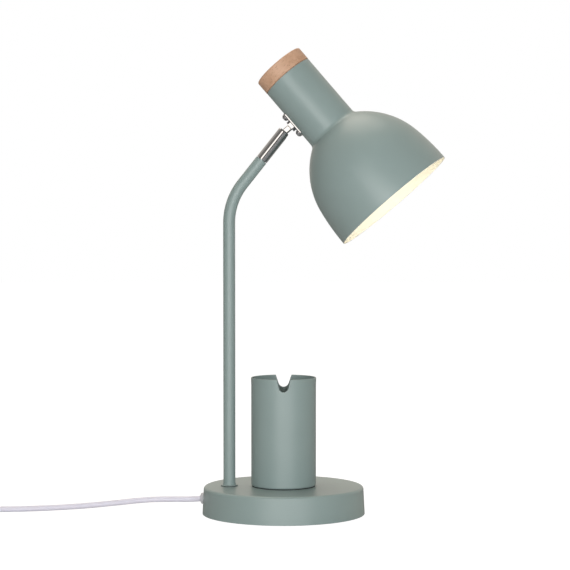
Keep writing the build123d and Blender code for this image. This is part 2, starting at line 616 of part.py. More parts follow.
# Lamp holder and bulb, in the shade's frame
def lamp_holder():
    """Bracket, holder body, its metal liner and centre contact, and the bracket's screw."""
    foot_high = -SHADE_WALL
    holder_top = -HOLDER_DROP
    holder_low = holder_top - HOLDER_LEN
    holder_r = HOLDER_DIA / 2
    leg_x = holder_r + BRACKET_GAP
    lug_z = holder_top - LUG_DROP
    leg_low = lug_z - LUG_SIZE / 2
    half = BRACKET_WIDTH / 2
    strap = block((-BRACKET_FOOT_BACK, leg_x + BRACKET_THICK), (-half, half),
                  (foot_high - BRACKET_THICK, foot_high))
    strap += block((leg_x, leg_x + BRACKET_THICK), (-half, half), (leg_low, foot_high))
    strap -= disc(CAP_SCREW_DIA + 2 * FIT, -10, 1)
    lug_hole = Pos(0, 0, lug_z) * along_x * disc(LUG_SCREW_DIA, leg_x - LUG_SCREW_LEN, neck_r)
    nodes["holder_bracket"] = shade_frame * (strap - lug_hole)

    bore = liner_bore + 2 * LINER_THICK
    seat_z = holder_low + BULB_SEATED
    body = turned((0, holder_low), (holder_r, holder_low), (holder_r, holder_top - HOLDER_SHOULDER),
                  (holder_r - HOLDER_SHOULDER, holder_top), (0, holder_top))
    body += block((holder_r - LUG_ROOT, leg_x), (-LUG_SIZE / 2, LUG_SIZE / 2), (leg_low, leg_low + LUG_SIZE))
    body -= disc(HOLDER_SKIRT_BORE, holder_low, holder_low + HOLDER_SKIRT_DEPTH)
    body -= disc(bore, holder_low, seat_z + TONGUE_RISE + TONGUE_THICK) + lug_hole
    for y in (-HOLDER_LEAD_SPACING / 2, HOLDER_LEAD_SPACING / 2):
        body -= Pos(0, y, 0) * disc(LEAD_DIA, holder_top - HOLDER_LEAD_DEPTH, holder_top)
    nodes["holder_body"] = shade_frame * body
    liner_low = holder_low + LINER_UP
    liner = ring(bore, liner_bore, liner_low, liner_low + LINER_LEN)
    nodes["holder_liner"] = shade_frame * liner
    tongue_r, half_tongue = liner_bore / 2 - TONGUE_END_GAP, TONGUE_WIDTH / 2
    tongue = block((-tongue_r, tongue_r), (-half_tongue, half_tongue),
                   (seat_z + TONGUE_RISE, seat_z + TONGUE_RISE + TONGUE_THICK))
    tongue += block((-half_tongue, half_tongue), (-half_tongue, half_tongue),
                    (seat_z, seat_z + TONGUE_RISE + FIT))
    nodes["holder_contact"] = shade_frame * tongue
    screw = pan_screw(LUG_SCREW_DIA, LUG_SCREW_LEN, LUG_SCREW_HEAD_DIA, LUG_SCREW_HEAD_H)
    nodes["bracket_screw"] = shade_frame * Pos(leg_x + BRACKET_THICK, 0, lug_z) * along_x * screw


def bulb():
    """Screw cap with its centre tip, plastic collar and opal globe."""
    holder_low = -HOLDER_DROP - HOLDER_LEN
    tip_z = holder_low + BULB_SEATED
    cap_high = tip_z - BULB_TIP_H
    cap_low = cap_high - BULB_CAP_LEN
    taper_low = cap_high - BULB_CAP_TAPER
    cap = disc(BULB_CAP_DIA, cap_low, taper_low)
    cap += turned((0, taper_low), (BULB_CAP_DIA / 2, taper_low), (BULB_TIP_DIA / 2, cap_high), (0, cap_high))
    nodes["bulb_cap"] = shade_frame * (cap + disc(BULB_TIP_DIA, cap_high, tip_z))
    globe_z = tip_z - BULB_LEN + BULB_GLOBE_DIA / 2
    half_angle = acos(BULB_COLLAR_DIA / BULB_GLOBE_DIA)
    cut_z = globe_z + BULB_GLOBE_DIA / 2 * sin(half_angle)
    globe = Pos(0, 0, globe_z) * (Sphere(BULB_GLOBE_DIA / 2) - Sphere(BULB_GLOBE_DIA / 2 - BULB_GLASS))
    globe &= disc(BULB_GLOBE_DIA + 2, globe_z - BULB_GLOBE_DIA, cut_z)
    nodes["bulb_globe"] = shade_frame * globe
    collar = turned((0, cut_z), (BULB_COLLAR_DIA / 2, cut_z),
                    (BULB_CAP_DIA / 2 + BULB_COLLAR_STEP, holder_low - BULB_COLLAR_GAP),
                    (BULB_CAP_DIA / 2, cap_low), (0, cap_low))
    nodes["bulb_collar"] = shade_frame * collar


# Cord gland and the wiring inside
def gland_and_wiring():
    """Gland, clamp, terminal block, the cord's inner end and the leads to the lamp holder."""
    root = GLAND_PROUD + 2 * BASE_WALL
    dome = turned((0, 0), (GLAND_NOSE_DIA / 2, 0), (GLAND_DIA / 2 - GLAND_SHOULDER, GLAND_PROUD * 0.45),
                  (GLAND_DIA / 2, GLAND_PROUD * 0.8), (GLAND_DIA / 2, root), (0, root))
    gland = Pos(gland_nose_x, 0, GLAND_Z) * along_x * dome - cover_form(0)
    gland += Pos(gland_nose_x, 0, GLAND_Z) * along_x * disc(GLAND_NECK_DIA, 1, gland_inner_x - gland_nose_x)
    flange = Pos(0, 0, GLAND_Z) * along_x * disc(GLAND_DIA, gland_nose_x, gland_inner_x)
    gland += flange & cover_form(BASE_WALL)
    bore = Pos(0, 0, GLAND_Z) * along_x * disc(CORD_DIA + FIT, gland_nose_x - 1, gland_inner_x + 1)
    nodes["cord_gland"] = gland - bore

    block_face = BLOCK_X - BLOCK_LEN / 2
    wire_z = ballast_top + BLOCK_WIRE_UP
    clamp_low_x = gland_inner_x + CLAMP_GAP
    clamp_high_x = clamp_low_x + CLAMP_LEN
    inner_path = tube_path([(gland_nose_x, 0, GLAND_Z), (clamp_high_x + INNER_RUN, 0, GLAND_Z),
                            (block_face - INNER_END_RUN, BLOCK_Y, wire_z), (block_face, BLOCK_Y, wire_z)],
                           [INNER_BEND_R, INNER_BEND_R])
    nodes["cord_inner"] = swept(inner_path, CORD_DIA)

    clamp_top = GLAND_Z + cord_r + CLAMP_TOP_WALL
    clamp = block((clamp_low_x, clamp_high_x), (-CLAMP_WIDTH / 2, CLAMP_WIDTH / 2), (ballast_top, clamp_top))
    clamp = fillet(clamp.edges().filter_by(Axis.X).group_by(Axis.Z)[-1], CLAMP_TOP_WALL)
    clamp -= Pos(0, 0, GLAND_Z) * along_x * disc(CORD_DIA + FIT, clamp_low_x - 1, clamp_high_x + 1)
    screws = []
    for y in (-CLAMP_SCREW_Y, CLAMP_SCREW_Y):
        screw_len = clamp_top - ballast_top
        clamp -= Pos(clamp_low_x + CLAMP_LEN / 2, y, 0) * disc(CLAMP_SCREW_DIA, ballast_top, clamp_top)
        screw = pan_screw(CLAMP_SCREW_DIA, screw_len, CLAMP_SCREW_HEAD_DIA, CLAMP_SCREW_HEAD_H)
        screws.append(Pos(clamp_low_x + CLAMP_LEN / 2, y, clamp_top) * screw)
    nodes["cord_clamp"] = clamp
    nodes["clamp_screws"] = group(screws)

    half_len, half_width = BLOCK_LEN / 2, BLOCK_WIDTH / 2
    terminal = block((BLOCK_X - half_len, BLOCK_X + half_len), (BLOCK_Y - half_width, BLOCK_Y + half_width),
                     (ballast_top, ballast_top + BLOCK_H))
    terminal = fillet(terminal.edges().filter_by(Axis.X).group_by(Axis.Z)[-1], BLOCK_EDGE_R)
    for y in (-BLOCK_WIDTH / 4, BLOCK_WIDTH / 4):
        wire_hole = Pos(0, BLOCK_Y + y, wire_z) * along_x * disc(LEAD_DIA, block_face, block_face + BLOCK_LEN)
        terminal -= wire_hole
        for x in (-BLOCK_LEN / 4, BLOCK_LEN / 4):
            terminal -= Pos(BLOCK_X + x, BLOCK_Y + y, 0) * disc(LEAD_DIA, wire_z, ballast_top + BLOCK_H)
    nodes["terminal_block"] = terminal

    lead_z = ballast_top + lead_r + LEAD_LIFT
    far_face = BLOCK_X + half_len
    turn_x = far_face + LEAD_RUN
    arm_top = sleeve_frame * Pos(0, 0, ball_up - ball_r - LEAD_TOP_GAP)
    stem_path = tube_path([(far_face, BLOCK_Y, wire_z), (turn_x, BLOCK_Y, wire_z),
                           (turn_x + LEAD_CROSSING, 0, lead_z), (stem_x, 0, lead_z), (stem_x, 0, CORNER_Z),
                           tuple(arm_top.position)], [LEAD_BEND_R, LEAD_BEND_R, LEAD_BEND_R - 1, BEND_R])
    nodes["stem_lead"] = swept(stem_path, LEAD_DIA)

    stud_end = saddle_face + SADDLE_THICK + SHADE_WALL + BACKING_THICK + STUD_NUT_H + STUD_TAIL
    rise_x = (stud_end + neck_axis_out - HOLDER_DIA / 2) / 2 + HEAD_LEAD_SHIFT
    holder_top = SEAM_UP - HOLDER_DROP
    over_z = holder_top + HEAD_LEAD_OVER
    drop_x = neck_axis_out - HEAD_LEAD_IN
    head_path = tube_path([(0, 0, 0), (rise_x, 0, 0), (rise_x, 0, over_z), (drop_x, 0, over_z),
                           (drop_x, 0, holder_top)], HEAD_LEAD_RADII)
    nodes["head_lead"] = ball_frame * swept(head_path, LEAD_DIA)


def relief():
    """Tapered strain relief on +Z, its wide end just inside the housing that ends at Z = 0."""
    return turned((0, -1), (RELIEF_DIA / 2, -1), (RELIEF_DIA / 2, 0), (RELIEF_END_DIA / 2, RELIEF_LEN),
                  (0, RELIEF_LEN))


# In-line switch, lying on the desk with the cord entering at mid-height
def switch():
    """Two switch shells, rocker with its pin, contacts and screws."""
    mid = SWITCH_HEIGHT / 2
    plan = RectangleRounded(SWITCH_LEN, SWITCH_WIDTH, SWITCH_CORNER_R)
    body = extrude(plan, SWITCH_HEIGHT)
    ends = body.edges().group_by(Axis.Z)
    body = fillet(list(ends[0]) + list(ends[-1]), SWITCH_EDGE_R)
    for facing in (90, -90):
        body += Pos(0, 0, mid) * Rot(0, facing, 0) * Pos(0, 0, SWITCH_LEN / 2) * relief()
    pocket_len, pocket_width = ROCKER_LEN + 2 * ROCKER_GAP, ROCKER_WIDTH + 2 * ROCKER_GAP
    pivot_z = SWITCH_HEIGHT - ROCKER_PIVOT_DROP
    pocket_low = ROCKER_POCKET_FLOOR
    body -= block((-pocket_len / 2, pocket_len / 2), (-pocket_width / 2, pocket_width / 2),
                  (pocket_low, SWITCH_HEIGHT + 1))
    pin_gap = ROCKER_GAP / 2
    body -= Pos(0, 0, pivot_z) * Rot(90, 0, 0) * disc(ROCKER_PIN_DIA + 2 * pin_gap,
                                                      -ROCKER_PIN_LEN / 2 - pin_gap, ROCKER_PIN_LEN / 2 + pin_gap)
    place = Pos(SWITCH_X, SWITCH_Y, 0)
    screws = []
    for x in (-SWITCH_SCREW_SPACING / 2, SWITCH_SCREW_SPACING / 2):
        screw_end = SWITCH_HEIGHT - SWITCH_SCREW_TAIL
        body -= Pos(x, 0, 0) * (disc(SWITCH_SCREW_DIA, 0, screw_end)
                                + disc(SWITCH_SCREW_HEAD_DIA + 2 * FIT, 0, SWITCH_SCREW_SINK))
        screw = pan_screw(SWITCH_SCREW_DIA, screw_end - SWITCH_SCREW_SINK, SWITCH_SCREW_HEAD_DIA,
                          SWITCH_SCREW_HEAD_H)
        screws.append(place * Pos(x, 0, SWITCH_SCREW_SINK) * Rot(180, 0, 0) * screw)
    whole = (-SWITCH_LEN, SWITCH_LEN)
    nodes["switch_lower"] = place * (body & block(whole, whole, (0, mid)))
    nodes["switch_upper"] = place * (body & block(whole, whole, (mid, SWITCH_HEIGHT)))
    nodes["switch_screws"] = group(screws)

    half = ROCKER_LEN / 2
    crown = ROCKER_PIVOT_DROP + ROCKER_CROWN
    keel = crown - ROCKER_DEPTH
    tilt = ROCKER_THROW / 2
    wing = crown + half * tan(radians(tilt)) + ROCKER_RISE / 4
    low_half, high_half = half - 2 * ROCKER_END_SLOPE, half - ROCKER_END_SLOPE
    profile = Polyline((-low_half, keel + ROCKER_KEEL), (0, keel), (low_half, keel + ROCKER_KEEL),
                       (high_half, wing), (0, crown), (-high_half, wing), close=True)
    rocker = extrude(Plane.XZ * make_face(profile), ROCKER_WIDTH / 2, both=True)
    rocker += Rot(90, 0, 0) * disc(ROCKER_PIN_DIA, -ROCKER_PIN_LEN / 2, ROCKER_PIN_LEN / 2)
    nodes["rocker"] = place * Pos(0, 0, pivot_z) * Rot(0, tilt, 0) * rocker
    contacts = []
    for x in (-CONTACT_SPACING / 2, CONTACT_SPACING / 2):
        strip = block((x - CONTACT_LEN / 2, x + CONTACT_LEN / 2), (-CONTACT_WIDTH / 2, CONTACT_WIDTH / 2),
                      (pocket_low, pocket_low + CONTACT_THICK))
        contacts.append(place * strip)
    nodes["switch_contacts"] = group(contacts)
    return pivot_z


# Coil of stored cord
def coil_place(turn):
    """Point of the coil's centre line after a number of turns, about the coil's own centre."""
    middle = COIL_TURNS / 2
    radius = COIL_MEAN_R + coil_pitch * (abs(turn - middle) - middle / 2)
    climb = min(max((turn - middle) * 2 + 0.5, 0.0), 1.0)
    height = coil_low + cord_r + coil_pitch * climb * climb * (3 - 2 * climb)
    angle = radians(90 + 360 * turn)
    return Vector(radius * cos(angle), radius * sin(angle), height)


def coil_heading(turn):
    """Unit direction of the coil's centre line after a number of turns."""
    small = 0.002
    return (coil_place(turn + small) - coil_place(turn - small)).normalized()


def biarc(start, start_dir, end, end_dir):
    """Two tangent arcs from one point and direction to another."""
    gap, both = end - start, start_dir + end_dir
    spread = 2 * (1 - start_dir.dot(end_dir))
    reach = (sqrt(gap.dot(both) ** 2 + spread * gap.dot(gap)) - gap.dot(both)) / spread
    meet = (start + start_dir * reach + end - end_dir * reach) * 0.5
    first = Edge.make_tangent_arc(start, start_dir, meet)
    second = Edge.make_tangent_arc(meet, first % 1, end)
    return [first, second]


def coil_gap():
    """Least distance between the surfaces of two turns, measured on points of the centre line."""
    steps = 60
    count = int(COIL_TURNS * steps)
    places = [coil_place(i / steps) for i in range(count + 1)]
    least = min((places[i] - places[j]).length for i in range(count + 1)
                for j in range(i + steps // 2, count + 1))
    return least - CORD_DIA


def coil(start_x, start_y):
    """Coil wound as one unbroken cord in two layers, upwards from the desk. Returns its end."""
    centre = Vector(start_x - CORD_DIA, start_y - coil_place(0).Y, 0)
    knots = [i / 4 for i in range(int(COIL_TURNS * 4) + 1)]
    flat = {0: Vector(-1, 0, 0), len(knots) - 1: Vector(1, 0, 0)}
    headings = [flat.get(i, coil_heading(turn)) for i, turn in enumerate(knots)]
    places = [centre + coil_place(turn) for turn in knots]
    edges = [Edge.make_line(places[0] + Vector(CORD_DIA, 0, 0), places[0])]
    for i in range(len(knots) - 1):
        edges += biarc(places[i], headings[i], places[i + 1], headings[i + 1])
    finish = places[-1] + Vector(CORD_DIA, 0, 0)
    edges.append(Edge.make_line(places[-1], finish))
    path = Wire(edges)
    nodes["cord_coil"] = swept(path, CORD_DIA)
    nodes["coil_tie"] = Pos(*tuple(centre)) * coil_tie()
    print(f"coil length {path.length:.0f}, least gap between turns {coil_gap():.2f}")
    return finish


def coil_tie():
    """Strap round the coil's bundle of turns, on the side towards the switch."""
    side = [coil_place(turn + 0.75) for turn in range(int(COIL_TURNS))]
    half_width = TIE_WIDTH / 2
    near, far = min(p.X for p in side) - cord_r, max(p.X for p in side) + cord_r
    inner_x = sqrt(near ** 2 - half_width ** 2) - TIE_GAP
    top = max(p.Z for p in side) + cord_r + TIE_GAP
    hollow = block((inner_x, far + TIE_GAP), (-half_width - 1, half_width + 1), (TIE_THICK, top))
    strap = block((inner_x - TIE_THICK, far + TIE_GAP + TIE_THICK), (-half_width, half_width),
                  (0, top + TIE_THICK))
    hollow = fillet(hollow.edges().filter_by(Axis.Y), cord_r)
    return fillet(strap.edges().filter_by(Axis.Y), cord_r + TIE_THICK) - hollow


# Free stretches of cord: chosen points, each corner rounded by the largest arc its runs allow
def free_cord(points):
    """Tube along straight runs and tangent arcs. Prints its radii and checks its volume."""
    radii = []
    for before, here, after in zip(points, points[1:], points[2:]):
        run_in, run_out = Vector(*here) - Vector(*before), Vector(*after) - Vector(*here)
        bend = radians(run_in.get_angle(run_out))
        radii.append(0.45 * min(run_in.length, run_out.length) / tan(bend / 2))
    path = tube_path(points, radii)
    tube = swept(path, CORD_DIA)
    expected = pi * cord_r ** 2 * path.length
    print("cord radii", [round(r) for r in radii], f"length {path.length:.0f}",
          f"volume ratio {tube.volume / expected:.4f}")
    return tube


def plug(rear_x, rear_y):
    """Moulded two-pin plug lying on its side, with its tapered strain relief and pins."""
    mid = PLUG_THICK / 2
    half, rear = PLUG_WIDTH / 2, PLUG_REAR_WIDTH / 2
    widest_x, front_half = PLUG_BODY_LEN - PLUG_FRONT_LEN, half - PLUG_FRONT_TAPER
    plan = Polyline((0, -rear), (widest_x, -half), (PLUG_BODY_LEN, -front_half), (PLUG_BODY_LEN, front_half),
                    (widest_x, half), (0, rear), close=True)
    body = extrude(make_face(plan), PLUG_THICK)
    body = fillet(body.edges(), PLUG_EDGE_R)
    body += Pos(0, 0, mid) * Rot(0, -90, 0) * relief()
    place = Pos(rear_x + RELIEF_LEN, rear_y, 0)
    pins = []
    for y in (-PIN_SPACING / 2, PIN_SPACING / 2):
        pin = disc(PIN_DIA, PLUG_BODY_LEN + FIT, PLUG_BODY_LEN + PIN_LEN)
        pin = fillet(rim_edge(pin, PLUG_BODY_LEN + PIN_LEN), PIN_END_R)
        pin += disc(PIN_ROOT_DIA, PLUG_BODY_LEN - PIN_ROOT, PLUG_BODY_LEN + FIT)
        body -= Pos(0, y, mid) * along_x * disc(PIN_ROOT_DIA, PLUG_BODY_LEN - PIN_ROOT, PLUG_BODY_LEN + 1)
        pins.append(place * Pos(0, y, mid) * along_x * pin)
    nodes["plug_body"] = place * body
    nodes["plug_pins"] = group(pins)


# Assembly
nodes["base_cover"] = base_cover()
base_inside()
stem()
pen_cup()
swivel()
tilting_mount()
shade_and_cap()
lamp_holder()
bulb()
gland_and_wiring()
rocker_pivot_z = switch()

switch_mid = SWITCH_HEIGHT / 2
near_end = SWITCH_X + SWITCH_LEN / 2 + RELIEF_LEN
far_end = SWITCH_X - SWITCH_LEN / 2 - RELIEF_LEN
nodes["cord_free"] = free_cord([
    (gland_nose_x, 0, GLAND_Z), (-106, 0, GLAND_Z), (-140, 1.6, 14.4), (-174, 4.2, 9), (-208, 6.8, 5.4),
    (-246, 9.2, 3.4), (-276, 9.8, 2.8), (-300, 8.6, 3), (-318, SWITCH_Y, switch_mid),
    (near_end, SWITCH_Y, switch_mid)])
lead_end_x, lead_end_y = far_end - 56, SWITCH_Y - 3
nodes["cord_lead"] = free_cord([
    (far_end, SWITCH_Y, switch_mid), (far_end - 12, SWITCH_Y, switch_mid), (far_end - 28, SWITCH_Y - 1.2, 4.2),
    (lead_end_x + 14, lead_end_y, coil_low + cord_r), (lead_end_x, lead_end_y, coil_low + cord_r)])
coil_end = coil(lead_end_x, lead_end_y)
tail_z = PLUG_THICK / 2
plug_rear_x, plug_rear_y = coil_end.X + 80, coil_end.Y - 18.2
nodes["cord_tail"] = free_cord([
    tuple(coil_end), (coil_end.X + 18, coil_end.Y, coil_end.Z), (coil_end.X + 40, coil_end.Y - 7.5, 8.6),
    (plug_rear_x - 18, plug_rear_y, tail_z), (plug_rear_x, plug_rear_y, tail_z)])
plug(plug_rear_x, plug_rear_y)

for name, solid in nodes.items():
    export_step(solid, f"parts/{name}.step")


print("ball centre", ball_frame.position)
print("arm axis", (corner_frame * Pos(0, 0, 1)).position - corner_frame.position)
print("tilt axis", (sleeve_frame * Pos(0, 1, 0)).position - sleeve_frame.position)
print("rocker pivot", (SWITCH_X, SWITCH_Y, rocker_pivot_z))
print("mouth centre", (shade_frame * Pos(0, 0, -SHADE_LEN)).position)
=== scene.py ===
"""Looks of the desk lamp with a pen cup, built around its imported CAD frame.

Every node of the frame gets its finish. The cords with their fittings, the base's cover, the stem, the cup,
the gland, the screws, the chrome joint, the wooden cap and the shade are pieces of their own, built here and
carried by the frame's bodies. Sizes inside the classes are in millimetres, and every object is in metres.
"""
from __future__ import annotations

import json
import logging
from dataclasses import dataclass, field
from enum import Enum
from math import acos, atan2, cos, degrees, hypot, pi, radians, sin

import bmesh
import bpy
from mathutils import Matrix, Vector

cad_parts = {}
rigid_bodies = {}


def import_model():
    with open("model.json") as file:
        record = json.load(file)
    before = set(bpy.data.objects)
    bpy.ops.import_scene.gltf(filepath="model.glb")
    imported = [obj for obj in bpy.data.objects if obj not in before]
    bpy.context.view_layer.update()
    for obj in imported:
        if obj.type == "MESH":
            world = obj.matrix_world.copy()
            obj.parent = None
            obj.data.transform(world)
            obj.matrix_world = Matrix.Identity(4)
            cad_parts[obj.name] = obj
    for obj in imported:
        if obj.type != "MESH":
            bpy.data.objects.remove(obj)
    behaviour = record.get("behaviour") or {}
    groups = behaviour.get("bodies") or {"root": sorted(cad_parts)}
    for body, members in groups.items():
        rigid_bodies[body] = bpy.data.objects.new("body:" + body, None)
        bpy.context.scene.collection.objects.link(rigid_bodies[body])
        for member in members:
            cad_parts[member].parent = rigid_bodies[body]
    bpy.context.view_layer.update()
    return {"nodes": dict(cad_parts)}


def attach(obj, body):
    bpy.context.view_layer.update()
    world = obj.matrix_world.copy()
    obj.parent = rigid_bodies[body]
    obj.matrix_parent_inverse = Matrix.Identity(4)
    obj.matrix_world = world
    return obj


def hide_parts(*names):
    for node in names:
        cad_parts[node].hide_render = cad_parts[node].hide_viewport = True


LOG = logging.getLogger("desk_lamp")
MM = 0.001
Point = tuple[float, float, float]

# Sizes that more than one piece takes, in millimetres and degrees, as the CAD has them
BASE_TOP = 27.9
STEM_X = -54.3
CORNER_Z = 313.2
ARM_ANGLE = 38.4
ARM_LEN = 52.2
NECK_R = 26.8
NECK_OUT = 42.0
SWITCH_Y = 7.0
SWITCH_MID = 8.9
PLUG_Y = -100.025
PLUG_MID = 6.85

# Distances in millimetres within which vertices of a new mesh and of a CAD copy are one, and within which
# a cut counts as on a vertex, and the bend in degrees under which a CAD copy's faces are one
MERGE = 0.002
CAD_MERGE = 0.001
CUT = 0.0001
FLAT = 0.3

# Edges in the arcs of a profile, from a slight rounding to a rolled edge, and across an eased corner
SLIGHT_ARC = 4
SMALL_ARC = 6
BROAD_ARC = 8
ROLLED_ARC = 10
EASED = 3

# Most of a noise lies between these two, and paint, plastic, oil and glass bend light by about the third
NOISE_LOW = 0.3
NOISE_HIGH = 0.7
COMMON_IOR = 1.5


class Body(Enum):
    """Bodies of the frame that pieces ride on."""

    STAND = "stand"
    SWIVEL = "swivel"
    HEAD = "head"
    ROCKER = "rocker"


def linear(colour: str) -> tuple[float, float, float, float]:
    """Turns an sRGB hex colour into the linear colour that a socket takes.

    Args:
        colour: Six hex digits, such as "8A9B96".

    Returns:
        Red, green, blue and alpha, linear.
    """
    parts = [int(colour[i:i + 2], 16) / 255 for i in (0, 2, 4)]
    red, green, blue = [c / 12.92 if c <= 0.04045 else ((c + 0.055) / 1.055) ** 2.4 for c in parts]
    return red, green, blue, 1.0


def add_node(tree: bpy.types.NodeTree, kind: str, inputs: dict | None = None, **settings) -> bpy.types.Node:
    """Adds a node with its settings, its values and its links.

    Args:
        tree: Node tree that gets the node.
        kind: Blender's name of the node type.
        inputs: Input name or number to a value, or to the output socket that feeds it.
        settings: Properties of the node.

    Returns:
        The new node.
    """
    made = tree.nodes.new(kind)
    for name, value in settings.items():
        setattr(made, name, value)
    for key, value in (inputs or {}).items():
        if isinstance(value, bpy.types.NodeSocket):
            tree.links.new(value, made.inputs[key])
        else:
            made.inputs[key].default_value = value
    return made


def per_metre(size_mm: float) -> float:
    """Gives the scale of a pattern on object coordinates whose features are size_mm apart."""
    return 1.0 / (size_mm * MM)


def emptied(owner: bpy.types.Material | bpy.types.World) -> bpy.types.NodeTree:
    """Turns on the nodes of a material or a world, and gives its emptied tree."""
    owner.use_nodes = True
    owner.node_tree.nodes.clear()
    return owner.node_tree


def linked(name: str, data: bpy.types.ID) -> bpy.types.Object:
    """Makes an object of its data and links it to the scene."""
    made = bpy.data.objects.new(name, data)
    bpy.context.scene.collection.objects.link(made)
    return made


# Finishes ------------------------------------------------------------------------------------------


@dataclass(frozen=True)
class Finish:
    """A finish made once and shared by every piece that has it."""

    name: str

    def material(self) -> bpy.types.Material:
        """Finds the finish's material, or makes it with its nodes.

        Returns:
            The material.
        """
        found = bpy.data.materials.get(self.name)
        if found:
            return found
        made = bpy.data.materials.new(self.name)
        tree = emptied(made)
        add_node(tree, "ShaderNodeOutputMaterial", {"Surface": self.shade(tree)})
        return made

    def shade(self, tree: bpy.types.NodeTree) -> bpy.types.NodeSocket:
        """Builds the nodes of the finish and gives the shader socket."""
        raise NotImplementedError


@dataclass(frozen=True)
class PowderCoat(Finish):
    """Baked powder coat on steel: satin, with a very fine orange peel and a faint clouding of its colour."""

    colour: str
    cloud: str
    roughness: float = 0.4
    peel_mm: float = 0.8
    cloud_mm: float = 26.0
    peel_depth: float = 0.008
    peel_gloss: float = 0.03
    relief: float = 0.2

    def shade(self, tree: bpy.types.NodeTree) -> bpy.types.NodeSocket:
        """Builds the nodes of the finish and gives the shader socket."""
        place = add_node(tree, "ShaderNodeTexCoord").outputs["Object"]
        cloud = add_node(tree, "ShaderNodeTexNoise", {
            "Vector": place, "Scale": per_metre(self.cloud_mm), "Detail": 3.0})
        tint = add_node(tree, "ShaderNodeMix", {
            0: cloud.outputs["Fac"], 6: linear(self.colour), 7: linear(self.cloud)}, data_type="RGBA")
        peel = add_node(tree, "ShaderNodeTexNoise", {
            "Vector": place, "Scale": per_metre(self.peel_mm), "Detail": 2.0})
        gloss = add_node(tree, "ShaderNodeMapRange", {
            "Value": peel.outputs["Fac"], "From Min": NOISE_LOW, "From Max": NOISE_HIGH,
            "To Min": self.roughness - self.peel_gloss, "To Max": self.roughness + self.peel_gloss})
        bump = add_node(tree, "ShaderNodeBump", {
            "Height": peel.outputs["Fac"], "Strength": self.relief, "Distance": self.peel_depth * MM})
        return add_node(tree, "ShaderNodeBsdfPrincipled", {
            "Base Color": tint.outputs[2], "Roughness": gloss.outputs["Result"], "IOR": COMMON_IOR,
            "Normal": bump.outputs["Normal"]}).outputs["BSDF"]


@dataclass(frozen=True)
class Plated(Finish):
    """Bare or plated metal: its reflections carry fine polishing or machining lines and slight smudging."""

    colour: str
    roughness: float
    spread: float = 0.04
    smudge_mm: float = 9.0
    grit_mm: float = 0.35
    grit_depth: float = 0.004
    relief: float = 0.1

    def shade(self, tree: bpy.types.NodeTree) -> bpy.types.NodeSocket:
        """Builds the nodes of the finish and gives the shader socket."""
        place = add_node(tree, "ShaderNodeTexCoord").outputs["Object"]
        smudge = add_node(tree, "ShaderNodeTexNoise", {
            "Vector": place, "Scale": per_metre(self.smudge_mm), "Detail": 4.0})
        rough = add_node(tree, "ShaderNodeMapRange", {
            "Value": smudge.outputs["Fac"], "From Min": NOISE_LOW, "From Max": NOISE_HIGH,
            "To Min": self.roughness, "To Max": self.roughness + self.spread})
        grit = add_node(tree, "ShaderNodeTexNoise", {"Vector": place, "Scale": per_metre(self.grit_mm)})
        bump = add_node(tree, "ShaderNodeBump", {
            "Height": grit.outputs["Fac"], "Strength": self.relief, "Distance": self.grit_depth * MM})
        return add_node(tree, "ShaderNodeBsdfPrincipled", {
            "Base Color": linear(self.colour), "Metallic": 1.0, "Roughness": rough.outputs["Result"],
            "Normal": bump.outputs["Normal"]}).outputs["BSDF"]


@dataclass(frozen=True)
class Moulded(Finish):
    """Moulded plastic or rubber: a fine even spark texture, a soft gloss and a little depth."""

    colour: str
    roughness: float
    subsurface: float = 0.0
    spark_mm: float = 0.4
    spark_depth: float = 0.01
    mottle: float = 0.03
    mottle_mm: float = 12.0
    relief: float = 0.2
    light_depth: float = 1.5
    light_reach: Point = (1.0, 0.9, 0.85)

    def shade(self, tree: bpy.types.NodeTree) -> bpy.types.NodeSocket:
        """Builds the nodes of the finish and gives the shader socket."""
        place = add_node(tree, "ShaderNodeTexCoord").outputs["Object"]
        spark = add_node(tree, "ShaderNodeTexNoise", {
            "Vector": place, "Scale": per_metre(self.spark_mm), "Detail": 2.0})
        cloud = add_node(tree, "ShaderNodeTexNoise", {"Vector": place, "Scale": per_metre(self.mottle_mm)})
        level = add_node(tree, "ShaderNodeMapRange", {
            "Value": cloud.outputs["Fac"], "From Min": NOISE_LOW, "From Max": NOISE_HIGH,
            "To Min": 1.0 - self.mottle, "To Max": 1.0})
        tint = add_node(tree, "ShaderNodeHueSaturation", {
            "Color": linear(self.colour), "Value": level.outputs["Result"]})
        bump = add_node(tree, "ShaderNodeBump", {
            "Height": spark.outputs["Fac"], "Strength": self.relief, "Distance": self.spark_depth * MM})
        return add_node(tree, "ShaderNodeBsdfPrincipled", {
            "Base Color": tint.outputs["Color"], "Roughness": self.roughness, "IOR": COMMON_IOR,
            "Subsurface Weight": self.subsurface, "Subsurface Radius": self.light_reach,
            "Subsurface Scale": self.light_depth * MM, "Normal": bump.outputs["Normal"]}).outputs["BSDF"]


